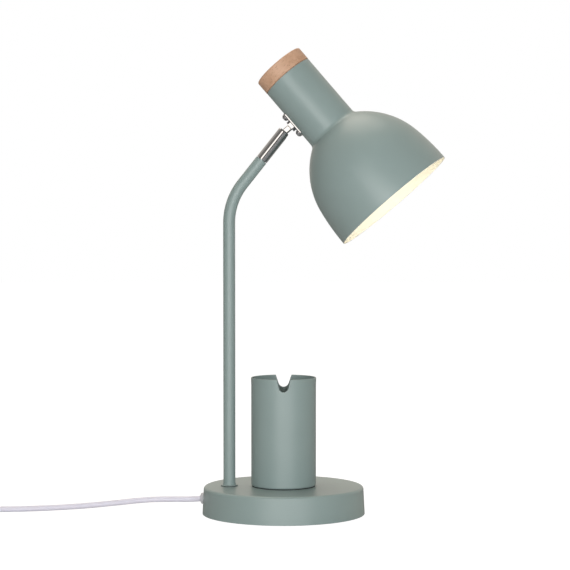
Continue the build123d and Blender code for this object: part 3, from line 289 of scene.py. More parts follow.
@dataclass(frozen=True)
class Beech(Finish):
    """Turned and oiled beech: pinkish tan, with faint growth bands and short dark flecks along the grain."""

    colour: str
    band: str
    fleck: str
    grain: Point = (0.0, 0.0, 0.0)
    turn: Point = (0.0, 0.0, 0.0)
    band_mm: float = 5.0
    band_edges: tuple[float, float] = (0.35, 0.65)
    band_waver: float = 0.6
    fleck_mm: float = 0.8
    fleck_long: float = 6.0
    fleck_edges: tuple[float, float] = (0.6, 0.72)
    fleck_share: float = 0.75
    pore_depth: float = 0.04
    relief: float = 0.3
    roughness: float = 0.55

    def shade(self, tree: bpy.types.NodeTree) -> bpy.types.NodeSocket:
        """Builds the nodes of the finish and gives the shader socket."""
        place = add_node(tree, "ShaderNodeTexCoord").outputs["Object"]
        along = add_node(tree, "ShaderNodeMapping", {
            "Vector": place, "Location": self.grain, "Rotation": self.turn}, vector_type="TEXTURE")
        drawn = add_node(tree, "ShaderNodeVectorMath", {
            0: along.outputs["Vector"], 1: (1.0 / self.fleck_long, 1.0, 1.0)}, operation="MULTIPLY")
        bands = add_node(tree, "ShaderNodeTexNoise", {
            "Vector": drawn.outputs["Vector"], "Scale": per_metre(self.band_mm), "Detail": 4.0,
            "Distortion": self.band_waver})
        flecks = add_node(tree, "ShaderNodeTexNoise", {
            "Vector": drawn.outputs["Vector"], "Scale": per_metre(self.fleck_mm), "Detail": 1.0})
        banded = add_node(tree, "ShaderNodeMapRange", {
            "Value": bands.outputs["Fac"], "From Min": self.band_edges[0], "From Max": self.band_edges[1]})
        dark = add_node(tree, "ShaderNodeMapRange", {
            "Value": flecks.outputs["Fac"], "From Min": self.fleck_edges[0], "From Max": self.fleck_edges[1],
            "To Max": self.fleck_share})
        ground = add_node(tree, "ShaderNodeMix", {
            0: banded.outputs["Result"], 6: linear(self.colour), 7: linear(self.band)}, data_type="RGBA")
        tint = add_node(tree, "ShaderNodeMix", {
            0: dark.outputs["Result"], 6: ground.outputs[2], 7: linear(self.fleck)}, data_type="RGBA")
        bump = add_node(tree, "ShaderNodeBump", {
            "Height": dark.outputs["Result"], "Strength": self.relief, "Distance": self.pore_depth * MM},
            invert=True)
        return add_node(tree, "ShaderNodeBsdfPrincipled", {
            "Base Color": tint.outputs[2], "Roughness": self.roughness, "IOR": COMMON_IOR,
            "Normal": bump.outputs["Normal"]}).outputs["BSDF"]


@dataclass(frozen=True)
class Glow(Finish):
    """Opal glass lit from inside: an even warm white glow under a glossy skin."""

    colour: str
    light: str
    strength: float
    haze_mm: float = 20.0
    roughness: tuple[float, float] = (0.18, 0.26)

    def shade(self, tree: bpy.types.NodeTree) -> bpy.types.NodeSocket:
        """Builds the nodes of the finish and gives the shader socket."""
        place = add_node(tree, "ShaderNodeTexCoord").outputs["Object"]
        haze = add_node(tree, "ShaderNodeTexNoise", {"Vector": place, "Scale": per_metre(self.haze_mm)})
        level = add_node(tree, "ShaderNodeMapRange", {
            "Value": haze.outputs["Fac"], "To Min": self.roughness[0], "To Max": self.roughness[1]})
        return add_node(tree, "ShaderNodeBsdfPrincipled", {
            "Base Color": linear(self.colour), "Roughness": level.outputs["Result"], "IOR": COMMON_IOR,
            "Emission Color": linear(self.light), "Emission Strength": self.strength}).outputs["BSDF"]


# Grey green that spreads each highlight into a soft satin band, with a peel seen only in raking light
SAGE_COAT = PowderCoat("powder_coated_steel_sage", "899B9A", "859796")
# Warm white inside of the bell, matt enough to glow evenly and never to mirror the bulb
CREAM_COAT = PowderCoat("stoved_enamel_cream", "FAF8EC", "F6F4E8", roughness=0.5, peel_mm=1.2)
# Clear, nearly black and white reflections of the room
CHROME = Plated("chrome_plated_steel_polished", "C9CBCE", roughness=0.07)
# Dull grey with patches that are a little brighter, from tumbling in the bath
ZINC = Plated("zinc_plated_steel_tumbled", "B4B8BA", roughness=0.3, spread=0.12)
# Dark, grainy and almost without a highlight; the grain is drawn coarser than the sand's, so that it shows
IRON = Plated("cast_iron_as_cast", "5A5B5C", roughness=0.62, grit_mm=1.1, grit_depth=0.08)
# Yellow metal with a soft highlight, as a lathe leaves it
BRASS = Plated("brass_turned", "C9A55A", roughness=0.25)
# Pale, slightly yellow metal, softer than chrome
NICKEL = Plated("nickel_plated_brass_tumbled", "C6C4BD", roughness=0.22)
# Near black and matt, with open cells on the cut face, for the foot pad; the same near black under the stem's
# flange and the cup's foot is painted shadow
FOAM_AND_PAINTED_SHADOW = Moulded("eva_foam_and_painted_shadow", "2E2F30", roughness=0.85, spark_mm=0.7, spark_depth=0.12)
# Waxy off-white that light enters a little
NYLON = Moulded("nylon_moulded", "DAD8CE", roughness=0.45, subsurface=0.15)
# Clean opaque white with a soft, fairly glossy highlight
WHITE_ABS = Moulded("abs_moulded_white", "E9E9E6", roughness=0.32)
# Pale grey, waxy and soft at its edges
GLAND_PVC = Moulded("pvc_moulded_pale_grey", "C0C2C8", roughness=0.38, subsurface=0.1)
# Pale and faintly lilac, soft in its shadows; its ripple is drawn coarser than the real one, so that it shows
CORD_PVC = Moulded("pvc_extruded_pale_lilac", "D8D8E6", roughness=0.4, subsurface=0.2, spark_mm=1.6,
                   spark_depth=0.02)
# Greyish and slightly see-through, as clear insulation over copper looks
LEAD_PVC = Moulded("pvc_extruded_clear_grey", "C9C8C4", roughness=0.4, subsurface=0.15)
# Black cloth that takes no highlight, with a fine even pile
STRAP = Moulded("hook_and_loop_strap_woven_black", "232324", roughness=0.8, spark_mm=0.5, spark_depth=0.1)
# Smooth and white, with a small sharp highlight
PORCELAIN = Moulded("glazed_porcelain_white", "ECEAE2", roughness=0.2)
# Pinkish tan with faint bands and short dark flecks, and a low sheen from the oil
BEECH = Beech("beech_turned_oiled", "C8A388", "BA9478", "8A664F")
# Warm white all over, brighter than what it lights, so that no filament shows
OPAL = Glow("opal_glass_lit", "F7F3E4", "FFF6E0", strength=3.7)

NODE_FINISHES: dict[str, Finish] = {
    "base_cover": SAGE_COAT, "pen_cup": SAGE_COAT, "stem_tube": SAGE_COAT, "stem_foot": SAGE_COAT,
    "shade": SAGE_COAT, "wood_cap": BEECH, "bulb_globe": OPAL, "swivel_sleeve": CHROME, "ball_stud": CHROME,
    "stud_boss": CHROME, "saddle_plate": CHROME, "saddle_screws": CHROME, "foot_pad": FOAM_AND_PAINTED_SHADOW,
    "cord_gland": GLAND_PVC, "base_posts": ZINC, "ballast_disc": IRON, "bottom_plate": ZINC,
    "bottom_plate_screws": ZINC, "stem_stud": ZINC, "stem_washer": ZINC, "stem_nut": ZINC, "cup_screws": ZINC,
    "cup_nuts": ZINC, "arm_journal": ZINC, "sleeve_bush": NYLON, "ball_seat": NYLON, "spring_washers": ZINC,
    "spring_plug": BRASS, "backing_bar": ZINC, "stud_nut": ZINC, "cap_insert": BRASS, "cap_screw": ZINC,
    "holder_bracket": ZINC, "bracket_screw": ZINC, "holder_body": PORCELAIN, "holder_liner": BRASS,
    "holder_contact": BRASS, "bulb_cap": NICKEL, "bulb_collar": WHITE_ABS, "cord_inner": CORD_PVC,
    "cord_clamp": NYLON, "clamp_screws": ZINC, "terminal_block": NYLON, "stem_lead": LEAD_PVC,
    "head_lead": LEAD_PVC, "switch_lower": WHITE_ABS, "switch_upper": WHITE_ABS, "rocker": WHITE_ABS,
    "switch_contacts": BRASS, "switch_screws": ZINC, "cord_free": CORD_PVC, "cord_lead": CORD_PVC,
    "cord_coil": CORD_PVC, "cord_tail": CORD_PVC, "coil_tie": STRAP, "plug_body": WHITE_ABS,
    "plug_pins": NICKEL,
}


# Mesh tools ----------------------------------------------------------------------------------------


class Turning:
    """A profile drawn in the XZ plane with bmesh operators, then spun about Z, one finish at a time."""

    def __init__(self, radius: float, height: float) -> None:
        """Starts the profile at a radius and a height."""
        self.bm = bmesh.new()
        self.tip = bmesh.ops.create_vert(self.bm, co=(radius, 0, height))["vert"][0]
        self.drawn: list[bmesh.types.BMEdge] = []

    def line(self, radius: float, height: float) -> Turning:
        """Draws a straight run to a radius and a height, and gives the turning."""
        made = bmesh.ops.extrude_vert_indiv(self.bm, verts=[self.tip])
        self.tip = made["verts"][0]
        self.tip.co = (radius, 0, height)
        self.drawn += made["edges"]
        return self

    def arc(self, centre: tuple[float, float], turn: float, steps: int) -> Turning:
        """Draws an arc from the tip of the profile.

        Args:
            centre: Radius and height of the arc's centre.
            turn: Degrees, positive from the radius towards the height.
            steps: Number of edges in the arc.

        Returns:
            The turning.
        """
        before = set(self.bm.edges)
        made = bmesh.ops.spin(self.bm, geom=[self.tip], cent=(centre[0], 0, centre[1]), axis=(0, -1, 0),
                              angle=radians(turn), steps=steps)
        self.tip = next(item for item in made["geom_last"] if isinstance(item, bmesh.types.BMVert))
        self.drawn += [edge for edge in self.bm.edges if edge not in before]
        return self

    def turn(self, steps: int, slot: int = 0) -> Turning:
        """Spins what was drawn since the last spin right round Z.

        Args:
            steps: Number of faces round the axis.
            slot: Number of the material slot that the new faces take.

        Returns:
            The turning.
        """
        before = set(self.bm.faces)
        verts = dict.fromkeys(vert for edge in self.drawn for vert in edge.verts)
        bmesh.ops.spin(self.bm, geom=[*verts, *self.drawn], cent=(0, 0, 0), axis=(0, 0, 1), angle=2 * pi,
                       steps=steps, use_merge=True)
        for face in self.bm.faces:
            if face not in before:
                face.material_index = slot
        self.drawn = []
        return self


def finished(bm: bmesh.types.BMesh, name: str, finishes: list[Finish], place: Matrix = Matrix.Identity(4),
             sharp: float = 35.0) -> bpy.types.Object:
    """Closes a mesh drawn in millimetres, puts it in its place and makes it an object.

    Args:
        bm: The mesh, which is freed.
        name: Name of the piece.
        finishes: Finish of each material slot.
        place: Frame that the mesh was drawn in, in millimetres.
        sharp: Edges bent by more than this many degrees stay sharp.

    Returns:
        The object, at the origin.
    """
    bmesh.ops.remove_doubles(bm, verts=bm.verts, dist=MERGE)
    bmesh.ops.transform(bm, matrix=Matrix.Scale(MM, 4) @ place, verts=bm.verts)
    bmesh.ops.recalc_face_normals(bm, faces=bm.faces)
    for face in bm.faces:
        face.smooth = True
    for edge in bm.edges:
        edge.smooth = edge.is_manifold and edge.calc_face_angle(0.0) < radians(sharp)
    mesh = bpy.data.meshes.new(name)
    bm.to_mesh(mesh)
    bm.free()
    for finish in finishes:
        mesh.materials.append(finish.material())
    made = linked(name, mesh)
    made.modifiers.new("even_normals", "WEIGHTED_NORMAL").keep_sharp = True
    return made


def copied(one: bmesh.types.BMesh, places: list[Matrix]) -> bmesh.types.BMesh:
    """Copies a mesh to its places.

    Args:
        one: The mesh, which is freed.
        places: Frame of each copy.

    Returns:
        One mesh with all the copies.
    """
    pattern = bpy.data.meshes.new("pattern")
    one.to_mesh(pattern)
    one.free()
    whole = bmesh.new()
    for place in places:
        before = len(whole.verts)
        whole.from_mesh(pattern)
        whole.verts.ensure_lookup_table()
        bmesh.ops.transform(whole, matrix=place, verts=whole.verts[before:])
    bpy.data.meshes.remove(pattern)
    return whole


def ease_corners(bm: bmesh.types.BMesh, width: float, sharp: float, clamp: bool = False) -> None:
    """Rounds the corners of a mesh.

    Args:
        bm: The mesh.
        width: Width of the rounding in millimetres.
        sharp: Edges bent by more than this many degrees are rounded.
        clamp: Narrows the rounding where two would meet.
    """
    bent = [edge for edge in bm.edges if edge.is_manifold and edge.calc_face_angle(0.0) > radians(sharp)]
    bmesh.ops.bevel(bm, geom=bent, offset=width, offset_type="OFFSET", affect="EDGES", segments=EASED,
                    profile=0.5, material=-1, clamp_overlap=clamp)


def eased(node: bpy.types.Object, name: str, finish: Finish, width: float,
          sharp: float = 30.0) -> bpy.types.Object:
    """Copies a CAD node, merges its loose triangles and eases its corners.

    Args:
        node: The CAD node.
        name: Name of the piece.
        finish: Finish of the piece.
        width: Width of the easing in millimetres.
        sharp: Edges bent by more than this many degrees are eased.

    Returns:
        The piece.
    """
    bm = bmesh.new()
    bm.from_mesh(node.data)
    bmesh.ops.scale(bm, vec=(1 / MM,) * 3, verts=bm.verts)
    bmesh.ops.remove_doubles(bm, verts=bm.verts, dist=CAD_MERGE)
    bmesh.ops.dissolve_limit(bm, angle_limit=radians(FLAT), verts=bm.verts, edges=bm.edges)
    ease_corners(bm, width, sharp, clamp=True)
    return finished(bm, name, [finish])


def in_place(piece: bpy.types.Object, body: Body, slot: str, *nodes: str) -> bpy.types.Object:
    """Lets a piece ride on its body and stand for its nodes.

    Args:
        piece: The piece.
        body: Body that carries it.
        slot: The record's material slot; not used.
        nodes: CAD nodes that it replaces.

    Returns:
        The piece.
    """
    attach(piece, body.value)
    if nodes:
        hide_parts(*nodes)
    LOG.info("%s rides on %s and stands for %s", piece.name, body.value, ", ".join(nodes) or "itself")
    return piece


@dataclass
class DomedScrews:
    """Screws with a domed head and a cross recess, turned once and copied to their places."""

    name: str
    finish: Finish
    head_dia: float
    head_height: float
    shank_dia: float
    shank_len: float
    skirt: float = 0.0
    land: float = 0.3
    tip_chamfer: float = 0.3
    head_chamfer: float = 0.15
    cross_half: float = 0.5
    cross_reach: float = 0.55
    cross_floor: float = 0.35
    cross_taper: float = 0.8
    steps: int = 48

    def turned(self) -> bmesh.types.BMesh:
        """Turns one screw about Z, its seat at zero and its head upward."""
        head_r, shank_r = self.head_dia / 2, self.shank_dia / 2
        crown = self.head_height - self.land
        dome_r = (head_r ** 2 + crown ** 2) / (2 * crown)
        sweep = degrees(atan2(head_r, dome_r - crown))
        drawing = Turning(0, -self.shank_len).line(shank_r - self.tip_chamfer, -self.shank_len)
        drawing.line(shank_r, self.tip_chamfer - self.shank_len).line(shank_r, -self.skirt)
        drawing.line(head_r - self.head_chamfer, -self.skirt).line(head_r, self.head_chamfer - self.skirt)
        drawing.line(head_r, self.land).arc((0, self.head_height - dome_r), sweep, BROAD_ARC)
        return drawing.turn(self.steps).bm

    def recess(self, bm: bmesh.types.BMesh) -> None:
        """Cuts the cross into the dome of a screw."""
        bmesh.ops.remove_doubles(bm, verts=bm.verts, dist=MERGE)
        reach, low = self.cross_reach * self.head_dia / 2, self.head_height * self.cross_floor
        for axis in (Vector((1, 0, 0)), Vector((0, 1, 0))):
            for cut in (-reach, -self.cross_half, self.cross_half, reach):
                dome = [face for face in bm.faces if face.calc_center_median().z > self.land]
                around = dict.fromkeys(item for face in dome for item in (*face.verts, *face.edges))
                bmesh.ops.bisect_plane(bm, geom=[*dome, *around], dist=CUT, plane_co=axis * cut, plane_no=axis)
        cross = []
        for face in bm.faces:
            middle = face.calc_center_median()
            across, along = sorted((abs(middle.x), abs(middle.y)))
            if middle.z > self.land and across < self.cross_half and along < reach:
                cross.append(face)
        made = bmesh.ops.extrude_face_region(bm, geom=cross)["geom"]
        bmesh.ops.delete(bm, geom=cross, context="FACES")
        for vert in made:
            if isinstance(vert, bmesh.types.BMVert):
                vert.co = (vert.co.x * self.cross_taper, vert.co.y * self.cross_taper, low)

    def build(self, places: list[Matrix]) -> bpy.types.Object:
        """Builds the screws.

        Args:
            places: Frame of each screw, in millimetres.

        Returns:
            The piece with all of them.
        """
        one = self.turned()
        self.recess(one)
        return finished(copied(one, places), self.name, [self.finish])


# Studio --------------------------------------------------------------------------------------------


@dataclass
class SoftBox:
    """A rectangular lamp aimed at a point. Places are in metres."""

    name: str
    place: Point
    aim: Point
    width: float
    height: float
    watts: float
    colour: str = "FFFFFF"
    spares: Finish | None = None

    def build(self) -> None:
        """Adds the lamp to the scene."""
        data = bpy.data.lights.new(self.name, "AREA")
        data.shape = "RECTANGLE"
        data.size, data.size_y = self.width, self.height
        data.energy = self.watts
        data.color = linear(self.colour)[:3]
        lamp = linked(self.name, data)
        lamp.location = self.place
        lamp.rotation_euler = (Vector(self.aim) - Vector(self.place)).to_track_quat("-Z", "Y").to_euler()

    def spare(self) -> None:
        """Flags the lamp off the pieces of the finish that it spares."""
        if self.spares is None:
            return
        flagged = bpy.data.collections.new(self.name + "_flag")
        bpy.data.objects[self.name].light_linking.receiver_collection = flagged
        for piece in bpy.context.scene.objects:
            if self.spares.material() in [spot.material for spot in piece.material_slots]:
                flagged.objects.link(piece)
        for member in flagged.collection_objects:
            member.light_linking.link_state = "EXCLUDE"


@dataclass
class Studio:
    """Camera at the photograph's place, white floor and surround, and soft boxes at a plain level.

    Metal sees the surround as a studio: a white cove behind and overhead, dark gaps, a grey room and one
    narrow lamp beside the camera. Each band of the room is degrees off the camera's side and a grey, and
    each panel is a direction, the cosines at its outer edge and where it is full, and its strength.
    """

    camera_place: Point = (0.0014, -2.0, 0.3085)
    camera_pitch: float = 0.03958
    lens: float = 126.6
    sensor: float = 36.0
    floor_half: float = 6.0
    floor_colour: str = "D6D6D6"
    fill: float = 0.33
    room: tuple[tuple[float, float], ...] = (
        (180, 0.05), (92, 0.06), (82, 0.27), (49, 0.25), (41, 0.12), (0, 0.1))
    panels: tuple[tuple[Point, float, float, float], ...] = (
        ((0.22, 0.9, 0.37), 0.45, 0.75, 1.0), ((-0.7, 0.3, 0.65), 0.86, 0.94, 0.5),
        ((-0.268, -0.940, 0.212), 0.968, 0.98, 2.0))
    cove_colour: str = "FFF6EC"
    floor_glow: float = 0.965
    floor_shadow: float = 0.19
    floor_mirrored: float = 0.18
    # Painted light: a warm glow painted onto the floor beside the base, seen only by diffuse rays, that lights
    # the base's right side as the lamp's light on the desk would
    painted_pool_place: Point = (0.12, -0.03, 0.0)
    painted_pool_reach: float = 0.07
    painted_pool_level: float = 0.8
    painted_pool_colour: str = "FFE9D6"
    boxes: list[SoftBox] = field(default_factory=lambda: [
        SoftBox("front_box", (0.1, -2.0, 0.22), (0.0, 0.0, 0.25), 2.4, 0.8, 41.0, spares=CHROME),
        SoftBox("top_box", (-0.25, 0.4, 1.8), (0.0, 0.0, 0.1), 1.2, 1.2, 14.0, "FFF3E6"),
    ])

    def add_camera(self) -> None:
        """Adds the camera, level across and pitched slightly down."""
        data = bpy.data.cameras.new("camera")
        data.lens, data.sensor_width = self.lens, self.sensor
        camera = linked("camera", data)
        camera.location = self.camera_place
        camera.rotation_euler = (pi / 2 - self.camera_pitch, 0, 0)
        bpy.context.scene.camera = camera

    def add_surround(self) -> None:
        """Makes the world white to the eye, and the studio to metal."""
        world = bpy.data.worlds.new("surround")
        tree = emptied(world)
        path = add_node(tree, "ShaderNodeLightPath").outputs
        facing = add_node(tree, "ShaderNodeTexCoord").outputs["Generated"]
        off = add_node(tree, "ShaderNodeVectorMath", {
            0: facing, 1: (0.0, -0.5, 0.0)}, operation="DOT_PRODUCT")
        spot = add_node(tree, "ShaderNodeMath", {0: off.outputs["Value"], 1: 0.5}, operation="ADD")
        room = add_node(tree, "ShaderNodeValToRGB", {"Fac": spot.outputs[0]})
        bands = room.color_ramp.elements
        for number, (angle, grey) in enumerate(self.room):
            place = (1 + cos(radians(angle))) / 2
            band = bands[number] if number < 2 else bands.new(place)
            band.position, band.color = place, (grey, grey, grey, 1.0)
        whole = room.outputs["Color"]
        for towards, low, high, level in self.panels:
            near = add_node(tree, "ShaderNodeVectorMath", {0: facing, 1: towards}, operation="DOT_PRODUCT")
            panel = add_node(tree, "ShaderNodeMapRange", {
                "Value": near.outputs["Value"], "From Min": low, "From Max": high, "To Max": level})
            whole = add_node(tree, "ShaderNodeMath", {
                0: whole, 1: panel.outputs["Result"]}, operation="MAXIMUM").outputs[0]
        glassy = add_node(tree, "ShaderNodeMath", {
            0: path["Is Glossy Ray"], 1: path["Is Transmission Ray"]}, operation="MAXIMUM")
        mirrored = add_node(tree, "ShaderNodeMix", {0: glassy.outputs[0], 2: self.fill, 3: whole})
        seen = add_node(tree, "ShaderNodeMix", {0: path["Is Camera Ray"], 2: mirrored.outputs[0], 3: 1.0})
        tint = add_node(tree, "ShaderNodeMix", {
            0: path["Is Camera Ray"], 6: linear(self.cove_colour), 7: linear("FFFFFF")}, data_type="RGBA")
        light = add_node(tree, "ShaderNodeBackground", {"Color": tint.outputs[2], "Strength": seen.outputs[0]})
        add_node(tree, "ShaderNodeOutputWorld", {"Surface": light.outputs[0]})
        bpy.context.scene.world = world

    def add_floor(self) -> None:
        """Adds the white floor, which keeps a faint shadow of the object and carries a painted warm glow near
        the base, standing in for the lamp's light on the desk.
        """
        material = bpy.data.materials.new("studio_floor_white")
        tree = emptied(material)
        path = add_node(tree, "ShaderNodeLightPath").outputs
        mirrored = add_node(tree, "ShaderNodeMath", {
            0: path["Is Glossy Ray"], 1: path["Is Transmission Ray"]}, operation="MAXIMUM")
        seen = add_node(tree, "ShaderNodeMath", {
            0: path["Is Camera Ray"], 1: mirrored.outputs[0]}, operation="MAXIMUM")
        level = add_node(tree, "ShaderNodeMix", {
            0: path["Is Camera Ray"], 2: self.floor_mirrored, 3: self.floor_glow})
        place = add_node(tree, "ShaderNodeTexCoord").outputs["Object"]
        # Painted light: a warm emission painted onto the floor near the base, for diffuse rays only, fading out
        # over its reach
        away = add_node(tree, "ShaderNodeVectorMath", {0: place, 1: self.painted_pool_place}, operation="DISTANCE")
        painted_pool_strength = add_node(tree, "ShaderNodeMapRange", {
            "Value": away.outputs["Value"], "From Max": self.painted_pool_reach, "To Min": self.painted_pool_level,
            "To Max": 0.0})
        painted_pool_glow = add_node(tree, "ShaderNodeEmission", {
            "Color": linear(self.painted_pool_colour), "Strength": painted_pool_strength.outputs["Result"]})
        white = add_node(tree, "ShaderNodeBsdfDiffuse", {"Color": linear(self.floor_colour)})
        plain = add_node(tree, "ShaderNodeAddShader", {0: white.outputs[0], 1: painted_pool_glow.outputs[0]})
        shadow = add_node(tree, "ShaderNodeBsdfDiffuse", {"Color": (*[self.floor_shadow] * 3, 1.0)})
        glow = add_node(tree, "ShaderNodeEmission", {"Color": linear("FFFFFF"), "Strength": level.outputs[0]})
        pale = add_node(tree, "ShaderNodeAddShader", {0: shadow.outputs[0], 1: glow.outputs[0]})
        whole = add_node(tree, "ShaderNodeMixShader", {
            0: seen.outputs[0], 1: plain.outputs[0], 2: pale.outputs[0]})
        add_node(tree, "ShaderNodeOutputMaterial", {"Surface": whole.outputs[0]})
        bm = bmesh.new()
        bmesh.ops.create_grid(bm, x_segments=1, y_segments=1, size=self.floor_half)
        mesh = bpy.data.meshes.new("studio_floor")
        bm.to_mesh(mesh)
        bm.free()
        mesh.materials.append(material)
        floor = linked("studio_floor", mesh)

    def spare(self) -> None:
        """Flags the lamps off the finishes that they spare, once every piece is there."""
        for box in self.boxes:
            box.spare()

    def build(self) -> None:
        """Adds the camera, the surround, the floor and the lamps."""
        self.add_camera()
        self.add_surround()
        self.add_floor()
        for box in self.boxes:
            box.build()
        bpy.context.scene.view_settings.view_transform = "Standard"
        LOG.info("studio: camera, surround, floor and %d lamps", len(self.boxes))


# Cords ---------------------------------------------------------------------------------------------


@dataclass
class SupplyCord:
    """Two lengths of cord: from the base to the in-line switch, and from the switch through its stored
    coil to the plug. Routes repeat the CAD routes, in millimetres, and the two lengths are in metres."""

    dia: float = 5.6
    switch_y: float = SWITCH_Y
    switch_mid: float = SWITCH_MID
    near_end: float = -332.0
    far_end: float = -430.0
    coil_x: float = -491.6
    coil_y: float = -38.913
    coil_turns: float = 6.5
    coil_r: float = 33.0
    coil_pitch: float = 6.1
    coil_low: float = 0.9
    points_a_turn: int = 24
    tail_z: float = 9.8
    plug_rear: Point = (-406.0, PLUG_Y, PLUG_MID)
    free_length: float = 0.250
    stored_length: float = 1.500
    order: int = 3
    steps: int = 4
    round_steps: int = 6

    def coil_point(self, turn: float) -> Point:
        """Gives the place of the coil's centre line after a number of turns."""
        middle = self.coil_turns / 2
        radius = self.coil_r + self.coil_pitch * (abs(turn - middle) - middle / 2)
        climb = min(max((turn - middle) * 2 + 0.5, 0.0), 1.0)
        height = self.coil_low + self.dia / 2 + self.coil_pitch * climb * climb * (3 - 2 * climb)
        angle = radians(90 + 360 * turn)
        return self.coil_x + radius * cos(angle), self.coil_y + radius * sin(angle), height

    def near_route(self) -> list[Point]:
        """Gives the route from the base's gland along the desk to the switch."""
        return [(-83.946, 0, 14.9), (-97, 0, 14.2), (-112, 0.3, 14.4), (-138, 1.6, 13.8), (-174, 4.2, 9.4),
                (-208, 6.8, 5.9), (-246, 9.2, 3.7), (-276, 9.8, 2.8), (-300, 8.6, 3.0),
                (-318, self.switch_y, self.switch_mid), (self.near_end, self.switch_y, self.switch_mid)]

    def far_route(self) -> list[Point]:
        """Gives the route from the switch, round the coil in two layers, to the plug."""
        lead_end = self.coil_x + self.dia
        floor_z = self.coil_low + self.dia / 2
        lead = [(self.far_end, self.switch_y, self.switch_mid),
                (self.far_end - 12, self.switch_y, self.switch_mid),
                (self.far_end - 28, self.switch_y - 1.2, 4.2), (lead_end + 14, self.switch_y - 3, floor_z),
                (lead_end, self.switch_y - 3, floor_z)]
        count = int(self.coil_turns * self.points_a_turn)
        coil = [self.coil_point(i / self.points_a_turn) for i in range(count + 1)]
        low_y, rear = coil[-1][1], self.plug_rear
        tail = [(lead_end, low_y, self.tail_z), (lead_end + 18, low_y, self.tail_z),
                (lead_end + 40, low_y - 7.5, 8.6), (rear[0] - 18, rear[1], rear[2]), rear]
        return lead + coil + tail

    def tube(self, name: str, route: list[Point]) -> bpy.types.Object:
        """Makes a round cord on one smooth NURBS line.

        Args:
            name: Name of the piece.
            route: Control points in millimetres.

        Returns:
            The curve object.
        """
        curve = bpy.data.curves.new(name, "CURVE")
        curve.dimensions = "3D"
        spline = curve.splines.new("NURBS")
        spline.points.add(len(route) - 1)
        for point, place in zip(spline.points, route):
            point.co = (*[axis * MM for axis in place], 1.0)
        spline.order_u = self.order
        spline.use_endpoint_u = True
        spline.resolution_u = curve.resolution_u = self.steps
        spline.use_smooth = True
        curve.bevel_depth = self.dia / 2 * MM
        curve.bevel_resolution = self.round_steps
        curve.use_fill_caps = True
        curve.materials.append(CORD_PVC.material())
        return linked(name, curve)

    def build(self, nodes: dict[str, bpy.types.Object]) -> None:
        """Args:
            nodes: The frame's objects by node name.
        """
        fittings = CordFittings()
        near = in_place(self.tube("base_to_switch_cord", self.near_route()), Body.STAND, "cord_sheath",
                        "cord_free")
        fittings.switch(nodes)
        far = in_place(self.tube("switch_to_plug_cord", self.far_route()), Body.STAND, "cord_sheath",
                       "cord_lead", "cord_coil", "cord_tail")
        fittings.plug(nodes)


